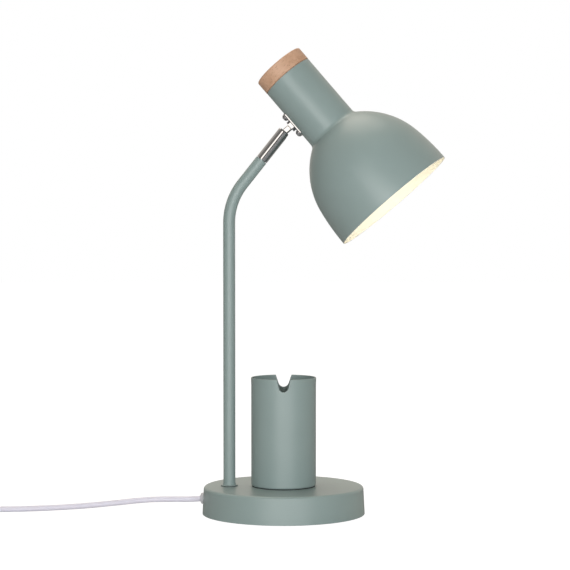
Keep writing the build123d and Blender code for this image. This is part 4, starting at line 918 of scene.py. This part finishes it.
@dataclass
class CordFittings:
    """Switch, plug and strap on the cord: eased shells, ribbed reliefs, screws and sleeved pins."""

    relief_len: float = 20.0
    relief_r: float = 4.75
    relief_end_r: float = 3.55
    relief_wall: float = 0.7
    relief_sunk: float = 0.5
    relief_steps: int = 56
    rib: float = 0.55
    rib_round: float = 0.2
    rib_share: float = 0.45
    groove: tuple[float, float] = (0.5, 0.95)
    end_share: float = 0.05
    ribs: int = 6
    case_ease: float = 0.3
    key_ease: float = 0.35
    strap_ease: float = 0.15
    switch_x: float = -381.0
    switch_y: float = SWITCH_Y
    switch_half: float = 29.0
    switch_mid: float = SWITCH_MID
    screw_half: float = 20.5
    screw_z: float = 3.0
    plug_x: float = -386.0
    plug_y: float = PLUG_Y
    plug_mid: float = PLUG_MID
    plug_len: float = 36.0
    pin_half: float = 9.5
    pin_root: float = 6.0
    pin_root_r: float = 1.7
    pin_r: float = 2.0
    pin_end: float = 19.0
    pin_sleeve: float = 10.0
    pin_edge: float = 0.1
    pin_step: float = 0.08
    pin_tip_r: float = 1.4
    pin_steps: int = 40

    def relief(self, name: str, place: Matrix) -> bpy.types.Object:
        """Turns a ribbed relief that tapers along Z.

        Args:
            name: Name of the piece.
            place: Frame of the relief's wide end, in millimetres.

        Returns:
            The piece.
        """
        pitch = self.relief_len / (self.ribs + 0.5)
        taper = (self.relief_r - self.relief_end_r) / self.relief_len
        inner = self.relief_end_r - self.relief_wall
        drawing = Turning(inner, -self.relief_sunk).line(self.relief_r + self.rib, -self.relief_sunk)
        for rib in range(self.ribs + 1):
            low = rib * pitch
            groove_r = self.relief_r - taper * low
            rib_r, rib_end = groove_r + self.rib, low + self.rib_share * pitch
            grooved = [low + share * pitch for share in self.groove]
            drawing.line(rib_r, rib_end - self.rib_round).line(rib_r - self.rib_round, rib_end)
            if rib < self.ribs:
                drawing.line(groove_r, grooved[0]).line(groove_r, grooved[1])
                drawing.line(rib_r - self.rib_round - taper * pitch, low + pitch)
                drawing.line(rib_r - taper * pitch, low + pitch + self.rib_round)
        drawing.line(inner, self.relief_len - self.end_share * pitch).line(inner, -self.relief_sunk)
        drawing.turn(self.relief_steps)
        return in_place(finished(drawing.bm, name, [WHITE_ABS], place), Body.STAND, "white_plastic")

    def pins(self) -> bpy.types.Object:
        """Turns a pin with its insulating sleeve, and places the pair."""
        root, tip, metal_r, edge = -self.pin_root, self.pin_end, self.pin_r - self.pin_step, self.pin_edge
        drawing = Turning(0, root).line(self.pin_root_r, root).line(self.pin_root_r, edge)
        drawing.line(self.pin_r, edge).line(self.pin_r, self.pin_sleeve - edge)
        drawing.line(self.pin_r - edge, self.pin_sleeve)
        drawing.turn(self.pin_steps, slot=0)
        drawing.line(metal_r, self.pin_sleeve).line(metal_r, tip - self.pin_tip_r)
        drawing.arc((metal_r - self.pin_tip_r, tip - self.pin_tip_r), 90, SMALL_ARC).line(0, tip)
        drawing.turn(self.pin_steps, slot=1)
        pair = copied(drawing.bm, [
            Matrix.Translation((self.plug_x + self.plug_len, self.plug_y + side, self.plug_mid))
            @ Matrix.Rotation(pi / 2, 4, "Y") for side in (-self.pin_half, self.pin_half)])
        return in_place(finished(pair, "sleeved_plug_pins", [WHITE_ABS, NICKEL]), Body.STAND, "nickel_brass",
                        "plug_pins")

    def switch(self, nodes: dict[str, bpy.types.Object]) -> list[bpy.types.Object]:
        """Builds the switch's pieces.

        Args:
            nodes: The frame's objects by node name.

        Returns:
            The pieces, and the nodes that are left.
        """
        made = [in_place(eased(nodes[name], name + "_shell", WHITE_ABS, self.case_ease), Body.STAND,
                         "white_plastic", name) for name in ("switch_lower", "switch_upper")]
        made.append(in_place(eased(nodes["rocker"], "rocker_key", WHITE_ABS, self.key_ease), Body.ROCKER,
                             "white_plastic", "rocker"))
        for name, side in (("switch_relief_near", 1), ("switch_relief_far", -1)):
            end = Vector((self.switch_x + side * self.switch_half, self.switch_y, self.switch_mid))
            made.append(self.relief(name, Matrix.Translation(end) @ Matrix.Rotation(side * pi / 2, 4, "Y")))
        screws = DomedScrews("switch_case_screws", ZINC, head_dia=5.0, head_height=1.6, shank_dia=2.6,
                             shank_len=11.8, cross_half=0.4)
        made.append(in_place(screws.build([
            Matrix.Translation((self.switch_x + x, self.switch_y, self.screw_z)) @ Matrix.Rotation(pi, 4, "X")
            for x in (-self.screw_half, self.screw_half)]), Body.STAND, "zinc_steel", "switch_screws"))
        return made + [nodes["switch_contacts"]]

    def plug(self, nodes: dict[str, bpy.types.Object]) -> list[bpy.types.Object]:
        """Builds the plug's pieces and the strap.

        Args:
            nodes: The frame's objects by node name.

        Returns:
            The pieces.
        """
        relief_place = (Matrix.Translation((self.plug_x, self.plug_y, self.plug_mid))
                        @ Matrix.Rotation(-pi / 2, 4, "Y"))
        strap = in_place(eased(nodes["coil_tie"], "coil_strap", STRAP, self.strap_ease), Body.STAND,
                         "tie_strap", "coil_tie")
        return [strap, self.relief("plug_relief", relief_place), self.pins(), nodes["plug_body"]]


# Stand ---------------------------------------------------------------------------------------------


@dataclass
class BaseCover:
    """Spun steel cover of the base: a rolled top edge, a side that leans in, and a hemmed rim."""

    top_r: float = 79.9
    rim_r: float = 81.3
    height: float = BASE_TOP
    rim_lift: float = 0.8
    edge_r: float = 2.8
    wall: float = 1.0
    steps: int = 224

    def build(self) -> None:
        """Builds the cover and lets it stand for its CAD node."""
        lean = atan2(self.rim_r - self.top_r, self.height - self.rim_lift)
        corner_z = self.height - self.edge_r
        corner_x = self.rim_r - (corner_z - self.rim_lift) * sin(lean) / cos(lean) - self.edge_r / cos(lean)
        drawing = Turning(0, self.height).line(corner_x - self.edge_r, self.height).line(corner_x, self.height)
        drawing.arc((corner_x, corner_z), degrees(lean) - 90, ROLLED_ARC).line(self.rim_r, self.rim_lift)
        drawing.arc((self.rim_r - self.wall / 2, self.rim_lift), -180, SMALL_ARC)
        inner_x = self.top_r - self.wall
        drawing.line(inner_x, self.height - self.wall - self.edge_r)
        drawing.line(inner_x - self.edge_r, self.height - self.wall).line(0, self.height - self.wall)
        drawing.turn(self.steps)
        in_place(finished(drawing.bm, "spun_base_cover", [SAGE_COAT]), Body.STAND, "green_paint", "base_cover")


@dataclass
class Gland:
    """Moulded gland in the side of the base: a rounded nose outside and a neck through the wall."""

    wall_x: float = -80.546
    z: float = 15.4
    proud: float = 2.7
    radius: float = 5.6
    nose_r: float = 3.7
    bore_r: float = 2.9
    neck_r: float = 3.9
    neck_len: float = 2.6
    round_r: float = 1.5
    nose_rise: float = 0.35
    sunk: float = 0.35
    steps: int = 72

    def build(self) -> None:
        """Turns the gland about the cord and lets it stand for its CAD node."""
        shoulder = self.proud - self.nose_rise
        drawing = Turning(self.bore_r, self.proud).line(self.nose_r, self.proud)
        drawing.line(self.radius - self.round_r, shoulder)
        drawing.arc((self.radius - self.round_r, shoulder - self.round_r), -90, BROAD_ARC)
        drawing.line(self.radius, -self.sunk).line(self.neck_r, -self.sunk).line(self.neck_r, -self.neck_len)
        drawing.line(self.bore_r, -self.neck_len).line(self.bore_r, self.proud).turn(self.steps)
        place = Matrix.Translation((self.wall_x, 0, self.z)) @ Matrix.Rotation(-pi / 2, 4, "Y")
        in_place(finished(drawing.bm, "moulded_gland", [GLAND_PVC], place), Body.STAND, "nylon", "cord_gland")


@dataclass
class Stem:
    """Bent stem tube with a rolled end under the sleeve, and its foot flange."""

    x: float = STEM_X
    foot_z: float = BASE_TOP
    corner_z: float = CORNER_Z
    bend_r: float = 62.0
    arm_angle: float = ARM_ANGLE
    arm_len: float = ARM_LEN
    radius: float = 6.0
    end_r: float = 0.5
    round_steps: int = 72
    bend_steps: int = 40
    foot_r: float = 8.5
    foot_bore_gap: float = 0.02
    foot_chamfer: float = 0.15
    foot_edge: float = 1.25
    foot_edge_r: float = 0.5
    foot_height: float = 3.2
    collar_r: float = 6.6
    collar_sweep: float = 0.7
    collar_chamfer: float = 0.2
    undercut: float = 0.55
    undercut_in: float = 0.35

    def tube(self) -> bpy.types.Object:
        """Extrudes a ring up the stem, spins it round the bend and extrudes it along the arm."""
        bend = radians(self.arm_angle)
        reach = self.bend_r * sin(bend / 2) / cos(bend / 2)
        low = self.corner_z - reach
        bm = bmesh.new()
        bmesh.ops.create_circle(bm, cap_ends=True, radius=self.radius, segments=self.round_steps,
                                matrix=Matrix.Translation((self.x, 0, self.foot_z)))
        ring = self.drawn_on(bm, list(bm.edges), Vector((0, 0, low - self.foot_z)))
        made = bmesh.ops.spin(bm, geom=ring, cent=(self.x + self.bend_r, 0, low), axis=(0, 1, 0), angle=bend,
                              steps=self.bend_steps)
        ring = [item for item in made["geom_last"] if isinstance(item, bmesh.types.BMEdge)]
        arm = Vector((sin(bend), 0, cos(bend)))
        ring = self.drawn_on(bm, ring, arm * (self.arm_len - reach - self.end_r))
        ring = self.drawn_on(bm, ring, arm * self.end_r)
        tip = dict.fromkeys(vert for edge in ring for vert in edge.verts)
        centre = sum((vert.co for vert in tip), Vector()) / len(tip)
        for vert in tip:
            vert.co = centre + (vert.co - centre) * (1 - self.end_r / self.radius)
        bmesh.ops.contextual_create(bm, geom=ring)
        return finished(bm, "bent_stem_tube", [SAGE_COAT])

    @staticmethod
    def drawn_on(bm: bmesh.types.BMesh, ring: list[bmesh.types.BMEdge],
                 move: Vector) -> list[bmesh.types.BMEdge]:
        """Extrudes a ring of edges.

        Args:
            bm: The mesh.
            ring: Edges of the ring.
            move: How far the new ring lies from it.

        Returns:
            Edges of the new ring.
        """
        made = bmesh.ops.extrude_edge_only(bm, edges=ring)["geom"]
        verts = [item for item in made if isinstance(item, bmesh.types.BMVert)]
        bmesh.ops.translate(bm, vec=move, verts=verts)
        return [item for item in made if isinstance(item, bmesh.types.BMEdge) and set(item.verts) <= set(verts)]

    def flange(self) -> bpy.types.Object:
        """Turns the foot flange, undercut, with its underside and undercut in near-black foam as painted
        shadow, so that a thin dark line shows round it.
        """
        bore, inner, top = self.radius + self.foot_bore_gap, self.foot_r - self.undercut_in, self.foot_edge
        edge, sweep_r, chamfer = self.foot_edge_r, self.collar_r + self.collar_sweep, self.foot_chamfer
        # The underside and the undercut take slot 1, the near-black foam finish, as painted shadow under the
        # flange's edge
        drawing = Turning(bore, 0).line(inner, 0).line(inner, self.undercut).turn(self.round_steps, slot=1)
        drawing.line(self.foot_r - chamfer, self.undercut).line(self.foot_r, self.undercut + chamfer)
        drawing.line(self.foot_r, top - edge).arc((self.foot_r - edge, top - edge), 90, SLIGHT_ARC)
        drawing.line(sweep_r, top).arc((sweep_r, top + self.collar_sweep), -90, SMALL_ARC)
        drawing.line(self.collar_r, self.foot_height - self.collar_chamfer)
        drawing.line(self.collar_r - self.collar_chamfer, self.foot_height)
        drawing.line(bore, self.foot_height).line(bore, 0).turn(self.round_steps)
        place = Matrix.Translation((self.x, 0, self.foot_z))
        return finished(drawing.bm, "stem_foot_flange", [SAGE_COAT, FOAM_AND_PAINTED_SHADOW], place)

    def build(self) -> None:
        """Builds the tube and its foot."""
        in_place(self.tube(), Body.STAND, "green_paint", "stem_tube")
        in_place(self.flange(), Body.STAND, "green_paint", "stem_foot")


@dataclass
class PenCup:
    """Drawn cup: rounded foot, lip that flares slightly, rounded rim, and a pen notch front and back."""

    radius: float = 32.4
    foot_z: float = BASE_TOP
    height: float = 109.1
    wall: float = 1.0
    foot_r: float = 2.2
    lip_height: float = 8.0
    lip_out: float = 0.25
    foot_gap: float = 0.7
    foot_in: float = 0.9
    front_width: float = 14.0
    front_r: float = 4.7
    back_width: float = 16.2
    back_r: float = 5.5
    notch_depth: float = 12.3
    notch_steps: int = 36
    side_steps: int = 84
    rows: int = 16
    reach: float = 20.0
    on_axis: float = 0.01

    def notch(self, wide: float, radius: float) -> list[tuple[float, float]]:
        """Works out a notch from its left corner to its right one.

        Args:
            wide: Width at the rim.
            radius: Radius of its bottom.

        Returns:
            Widths from the middle and depths under the rim.
        """
        half, rise = wide / 2, self.notch_depth - radius
        touch = atan2(rise, half) - acos(radius / hypot(half, rise))
        side = (radius * cos(touch), rise - radius * sin(touch))
        straight, curved = hypot(half - side[0], side[1]), radius * (pi / 2 + touch)
        outline = []
        for step in range(self.notch_steps // 2 + 1):
            run = (straight + curved) * step / (self.notch_steps // 2)
            if run <= straight:
                share = run / straight
                outline.append((-half + (half - side[0]) * share, side[1] * share))
            else:
                angle = pi + (run - straight) / radius - touch
                outline.append((radius * cos(angle), rise - radius * sin(angle)))
        return outline + [(-width, depth) for width, depth in reversed(outline[:-1])]

    def columns(self) -> list[tuple[float, float]]:
        """Gives the angle of each column of the cup and how deep its top lies under the rim."""
        rim_r = self.radius + self.lip_out
        found: list[tuple[float, float]] = []
        for middle, wide, radius, next_wide in ((pi / 2, self.back_width, self.back_r, self.front_width),
                                                (3 * pi / 2, self.front_width, self.front_r, self.back_width)):
            found += [(middle - atan2(width, (rim_r ** 2 - width ** 2) ** 0.5), depth)
                      for width, depth in reversed(self.notch(wide, radius))]
            start, end = found[-1][0], middle + pi - atan2(next_wide / 2, rim_r)
            found += [(start + (end - start) * step / self.side_steps, 0.0)
                      for step in range(1, self.side_steps)]
        return found

    def flare(self, height: float) -> float:
        """Gives how far the wall stands out at a height."""
        low = self.foot_z + self.height - self.lip_height
        return self.lip_out * min(max((height - low) / self.lip_height, 0.0), 1.0)

    def build(self) -> None:
        """Turns the cup, then draws its columns down to the notches."""
        rim, foot, half_wall = self.foot_z + self.height, self.foot_z, self.wall / 2
        gap_r, gap_z, round_r = self.radius - self.foot_in, foot + self.foot_gap, self.foot_r - self.foot_gap
        columns = self.columns()
        # The underside and the step of the foot's gap take slot 1, the near-black foam finish, as painted
        # shadow under the cup's foot
        drawing = Turning(0, foot).line(gap_r, foot).line(gap_r, gap_z).turn(len(columns), slot=1)
        drawing.line(self.radius - round_r, gap_z)
        drawing.arc((self.radius - round_r, gap_z + round_r), 90, SMALL_ARC)
        heights = [rim - half_wall - self.reach * (1 - row / self.rows) for row in range(self.rows + 1)]
        for height in heights:
            drawing.line(self.radius + self.flare(height), height)
        drawing.arc((self.radius + self.flare(heights[-1]) - half_wall, heights[-1]), 180, SMALL_ARC)
        for height in reversed(heights[:-1]):
            drawing.line(self.radius + self.flare(height) - self.wall, height)
        drawing.line(self.radius - self.wall, foot + self.foot_r)
        drawing.line(self.radius - self.foot_r, foot + self.wall).line(0, foot + self.wall)
        drawing.turn(len(columns))
        for vert in drawing.bm.verts:
            out = hypot(vert.co.x, vert.co.y)
            if out < self.on_axis:
                continue
            turn = atan2(vert.co.y, vert.co.x) % (2 * pi)
            angle, depth = columns[round(turn / (2 * pi) * len(columns)) % len(columns)]
            share = min(max((vert.co.z - (rim - self.reach)) / (self.reach - self.wall), 0.0), 1.0)
            lowered = vert.co.z - depth * share
            out += self.flare(lowered) - self.flare(vert.co.z)
            vert.co = (out * cos(angle), out * sin(angle), lowered)
        in_place(finished(drawing.bm, "drawn_pen_cup", [SAGE_COAT, FOAM_AND_PAINTED_SHADOW]), Body.STAND, "green_paint", "pen_cup")


@dataclass
class StandScrews:
    """Screws that hold the cup to the base's cover, and the base's bottom plate to its posts."""

    cup_x: float = 14.0
    cup_z: float = 28.9
    plate_ring_r: float = 62.0
    plate_z: float = 2.0
    plate_angles: tuple[float, ...] = (0, 120, 240)

    def build(self) -> None:
        """Builds both sets and lets them stand for their CAD nodes."""
        cup = DomedScrews("cup_floor_screws", ZINC, head_dia=7.6, head_height=2.4, shank_dia=4.0, shank_len=6.4)
        in_place(cup.build([Matrix.Translation((x, 0, self.cup_z)) for x in (-self.cup_x, self.cup_x)]),
                 Body.STAND, "zinc_steel", "cup_screws")
        plate = DomedScrews("bottom_screws", ZINC, head_dia=8.0, head_height=1.4, shank_dia=4.0, shank_len=8.0)
        in_place(plate.build([
            Matrix.Rotation(radians(angle), 4, "Z") @ Matrix.Translation((self.plate_ring_r, 0, self.plate_z))
            @ Matrix.Rotation(pi, 4, "X") for angle in self.plate_angles]), Body.STAND, "zinc_steel",
            "bottom_plate_screws")


# Head ----------------------------------------------------------------------------------------------


@dataclass
class Frames:
    """Frames of the arm, the sleeve, the ball and the shade, in millimetres, as the CAD has them."""

    stem_x: float = STEM_X
    corner_z: float = CORNER_Z
    arm_angle: float = ARM_ANGLE
    arm_len: float = ARM_LEN
    sleeve_turn: float = -6.1
    ball_up: float = 32.2
    head_angle: float = 40.5
    neck_out: float = NECK_OUT
    seam_up: float = 39.8

    def corner(self) -> Matrix:
        """Gives the frame of the stem's corner, with Z along the arm."""
        return (Matrix.Translation((self.stem_x, 0, self.corner_z))
                @ Matrix.Rotation(radians(self.arm_angle), 4, "Y"))

    def sleeve(self) -> Matrix:
        """Gives the frame of the sleeve, from the arm's end."""
        return (self.corner() @ Matrix.Translation((0, 0, self.arm_len))
                @ Matrix.Rotation(radians(self.sleeve_turn), 4, "Z"))

    def ball(self) -> Matrix:
        """Gives the frame of the ball, with X along its stud."""
        return (self.sleeve() @ Matrix.Translation((0, 0, self.ball_up))
                @ Matrix.Rotation(radians(-self.arm_angle - self.head_angle), 4, "Y"))

    def shade(self) -> Matrix:
        """Gives the frame of the shade, from the seam under the wooden cap."""
        return self.ball() @ Matrix.Translation((self.neck_out, 0, self.seam_up))


@dataclass
class SwivelJoint:
    """Chrome joint: eased sleeve, ball stud and boss, and the saddle plate with its two screws."""

    neck_r: float = NECK_R
    neck_out: float = NECK_OUT
    plate_high: float = 27.2
    plate_wide: float = 14.0
    plate_thick: float = 1.4
    corner_r: float = 2.0
    ease: float = 0.25
    ease_over: float = 60.0
    strips: int = 12
    screw_up: float = 10.3

    def saddle(self, place: Matrix) -> bpy.types.Object:
        """Makes the plate flat, eases it and bends it round the neck.

        Args:
            place: Frame of the ball.

        Returns:
            The piece.
        """
        bm = bmesh.new()
        bmesh.ops.create_grid(bm, x_segments=1, y_segments=1, size=0.5,
                              matrix=Matrix.Diagonal((self.plate_high, self.plate_wide, 1, 1)))
        bmesh.ops.bevel(bm, geom=list(bm.verts), offset=self.corner_r, offset_type="OFFSET", affect="VERTICES",
                        segments=SMALL_ARC, profile=0.5, material=-1)
        bmesh.ops.solidify(bm, geom=list(bm.faces), thickness=self.plate_thick)
        ease_corners(bm, self.ease, self.ease_over)
        for strip in range(1, self.strips):
            cut = self.plate_wide * (strip / self.strips - 0.5)
            bmesh.ops.bisect_plane(bm, geom=[*bm.verts, *bm.edges, *bm.faces], dist=CUT,
                                   plane_co=(0, cut, 0), plane_no=(0, 1, 0))
        for vert in bm.verts:
            along, side, depth = vert.co.x, vert.co.y, abs(vert.co.z)
            reach = ((self.neck_r + depth) ** 2 - side ** 2) ** 0.5
            vert.co = (self.neck_out - reach, side, along)
        return finished(bm, "bent_saddle_plate", [CHROME], place)

    def build(self, nodes: dict[str, bpy.types.Object], place: Matrix) -> None:
        """Builds the joint's pieces and lets them stand for their CAD nodes.

        Args:
            nodes: The frame's objects by node name.
            place: Frame of the ball.
        """
        in_place(eased(nodes["swivel_sleeve"], "slotted_sleeve", CHROME, self.ease), Body.SWIVEL,
                 "polished_chrome", "swivel_sleeve")
        in_place(eased(nodes["stud_boss"], "hexagon_boss", CHROME, self.ease), Body.HEAD, "polished_chrome",
                 "stud_boss")
        in_place(self.saddle(place), Body.HEAD, "polished_chrome", "saddle_plate")
        seat_x = self.neck_out - self.neck_r - self.plate_thick
        screws = DomedScrews("domed_saddle_screws", CHROME, head_dia=7.4, head_height=3.0, shank_dia=3.2,
                             shank_len=5.0, skirt=0.3)
        in_place(screws.build([place @ Matrix.Translation((seat_x, 0, up)) @ Matrix.Rotation(-pi / 2, 4, "Y")
                               for up in (-self.screw_up, self.screw_up)]), Body.HEAD, "polished_chrome",
                 "saddle_screws")


@dataclass
class Shade:
    """Spun shade: straight neck, bell of two tangent arcs, and a rolled mouth edge."""

    neck_r: float = NECK_R
    mouth_r: float = 65.6
    length: float = 162.8
    belly_r: float = 62.2
    belly_up: float = 39.3
    neck_len: float = 70.0
    fillet_r: float = 6.0
    top_edge_r: float = 0.7
    inner_edge_r: float = 0.3
    wall: float = 1.0
    steps: int = 192
    lower_steps: int = 12
    upper_steps: int = 28
    inner_edge_steps: int = 2

    def arcs(self) -> tuple[float, float, tuple[float, float], float]:
        """Works out the bell's two arcs.

        Returns:
            Lower radius, turn to the belly in degrees, upper centre, upper radius.
        """
        step_in = self.mouth_r - self.belly_r
        lower_r = (self.belly_up ** 2 + step_in ** 2) / (2 * step_in)
        turn = atan2(self.belly_up, lower_r - step_in)
        normal = Vector((cos(turn), sin(turn)))
        belly = Vector((self.belly_r, self.belly_up - self.length))
        chord = Vector((self.neck_r, -self.neck_len)) - belly
        upper_r = -chord.length_squared / (2 * chord.dot(normal))
        centre = belly - normal * upper_r
        return lower_r, degrees(turn), (centre.x, centre.y), upper_r

    def skin(self, drawing: Turning, inset: float, upward: bool) -> None:
        """Draws one face of the wall between its mouth and its neck.

        Args:
            drawing: Turning whose tip is at the start of the skin.
            inset: Depth of the face under the outer one.
            upward: Draws from the mouth to the neck, or else from the neck down.
        """
        lower_r, low_turn, centre, upper_r = self.arcs()
        fillet_x = self.neck_r + self.fillet_r
        high_turn = degrees(acos((fillet_x - centre[0]) / (upper_r + self.fillet_r)))
        fillet = (fillet_x, centre[1] + (upper_r + self.fillet_r) * sin(radians(high_turn)))
        low = (self.mouth_r - lower_r, -self.length)
        parts = [(low, low_turn, self.lower_steps), (centre, high_turn - low_turn, self.upper_steps),
                 (fillet, -high_turn, BROAD_ARC)]
        if upward:
            for spot, turn, steps in parts:
                drawing.arc(spot, turn, steps)
        else:
            drawing.line(self.neck_r - inset, fillet[1])
            for spot, turn, steps in reversed(parts):
                drawing.arc(spot, -turn, steps)

    def build(self, place: Matrix) -> None:
        """Builds the shell, sage outside and cream inside.

        Args:
            place: The shade's frame.
        """
        half, edge = self.wall / 2, self.top_edge_r
        drawing = Turning(0, 0).line(self.neck_r - edge, 0)
        drawing.arc((self.neck_r - edge, -edge), -90, SLIGHT_ARC)
        self.skin(drawing, 0, upward=False)
        drawing.turn(self.steps, slot=0)
        drawing.arc((self.mouth_r - half, -self.length), -180, SMALL_ARC)
        self.skin(drawing, self.wall, upward=True)
        inner, round_r = self.neck_r - self.wall, self.inner_edge_r
        drawing.line(inner, -self.wall - round_r)
        drawing.arc((inner - round_r, -self.wall - round_r), 90, self.inner_edge_steps)
        drawing.line(0, -self.wall).turn(self.steps, slot=1)
        in_place(finished(drawing.bm, "shade_shell", [SAGE_COAT, CREAM_COAT], place), Body.HEAD, "green_paint",
                 "shade")


@dataclass
class WoodCap:
    """Turned beech cap on the neck."""

    radius: float = 26.95
    height: float = 14.6
    top_r: float = 1.2
    chamfer: float = 0.3
    seam: float = 0.6
    seam_depth: float = 1.2
    bore_r: float = 3.5
    bore_depth: float = 9.5
    steps: int = 160
    top_steps: int = 5

    def build(self, place: Matrix) -> None:
        """Builds the cap with its blind hole for the insert.

        Args:
            place: The shade's frame.
        """
        groove_r = self.radius - self.seam_depth
        drawing = Turning(0, self.bore_depth).line(self.bore_r, self.bore_depth).line(self.bore_r, 0)
        drawing.line(groove_r, 0).line(groove_r, self.seam)
        drawing.line(self.radius - self.chamfer, self.seam).line(self.radius, self.seam + self.chamfer)
        drawing.line(self.radius, self.height - self.top_r)
        drawing.arc((self.radius - self.top_r, self.height - self.top_r), 90, self.top_steps)
        drawing.line(0, self.height)
        drawing.turn(self.steps)
        centre, turned = (place @ Vector()) * MM, place.to_euler()
        beech = Beech("beech_cap_turned_oiled", BEECH.colour, BEECH.band, BEECH.fleck, grain=tuple(centre),
                      turn=tuple(turned))
        in_place(finished(drawing.bm, "turned_wood_cap", [beech], place), Body.HEAD, "beech", "wood_cap")


def dress(nodes: dict[str, bpy.types.Object]) -> None:
    """Gives every node of the frame its finish.

    Args:
        nodes: The frame's objects by node name.
    """
    for name, node in nodes.items():
        node.data.materials.clear()
        node.data.materials.append(NODE_FINISHES[name].material())
    LOG.info("%d nodes dressed", len(nodes))


def main() -> None:
    """Builds the studio and every sub-assembly, in order."""
    logging.basicConfig(level=logging.INFO, format="%(message)s")
    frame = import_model()
    frames = Frames()
    studio = Studio()
    studio.build()
    SupplyCord().build(frame["nodes"])
    dress(frame["nodes"])
    BaseCover().build()
    Stem().build()
    PenCup().build()
    Gland().build()
    StandScrews().build()
    SwivelJoint().build(frame["nodes"], frames.ball())
    WoodCap().build(frames.shade())
    Shade().build(frames.shade())
    studio.spare()


if __name__ == "__main__":
    main()
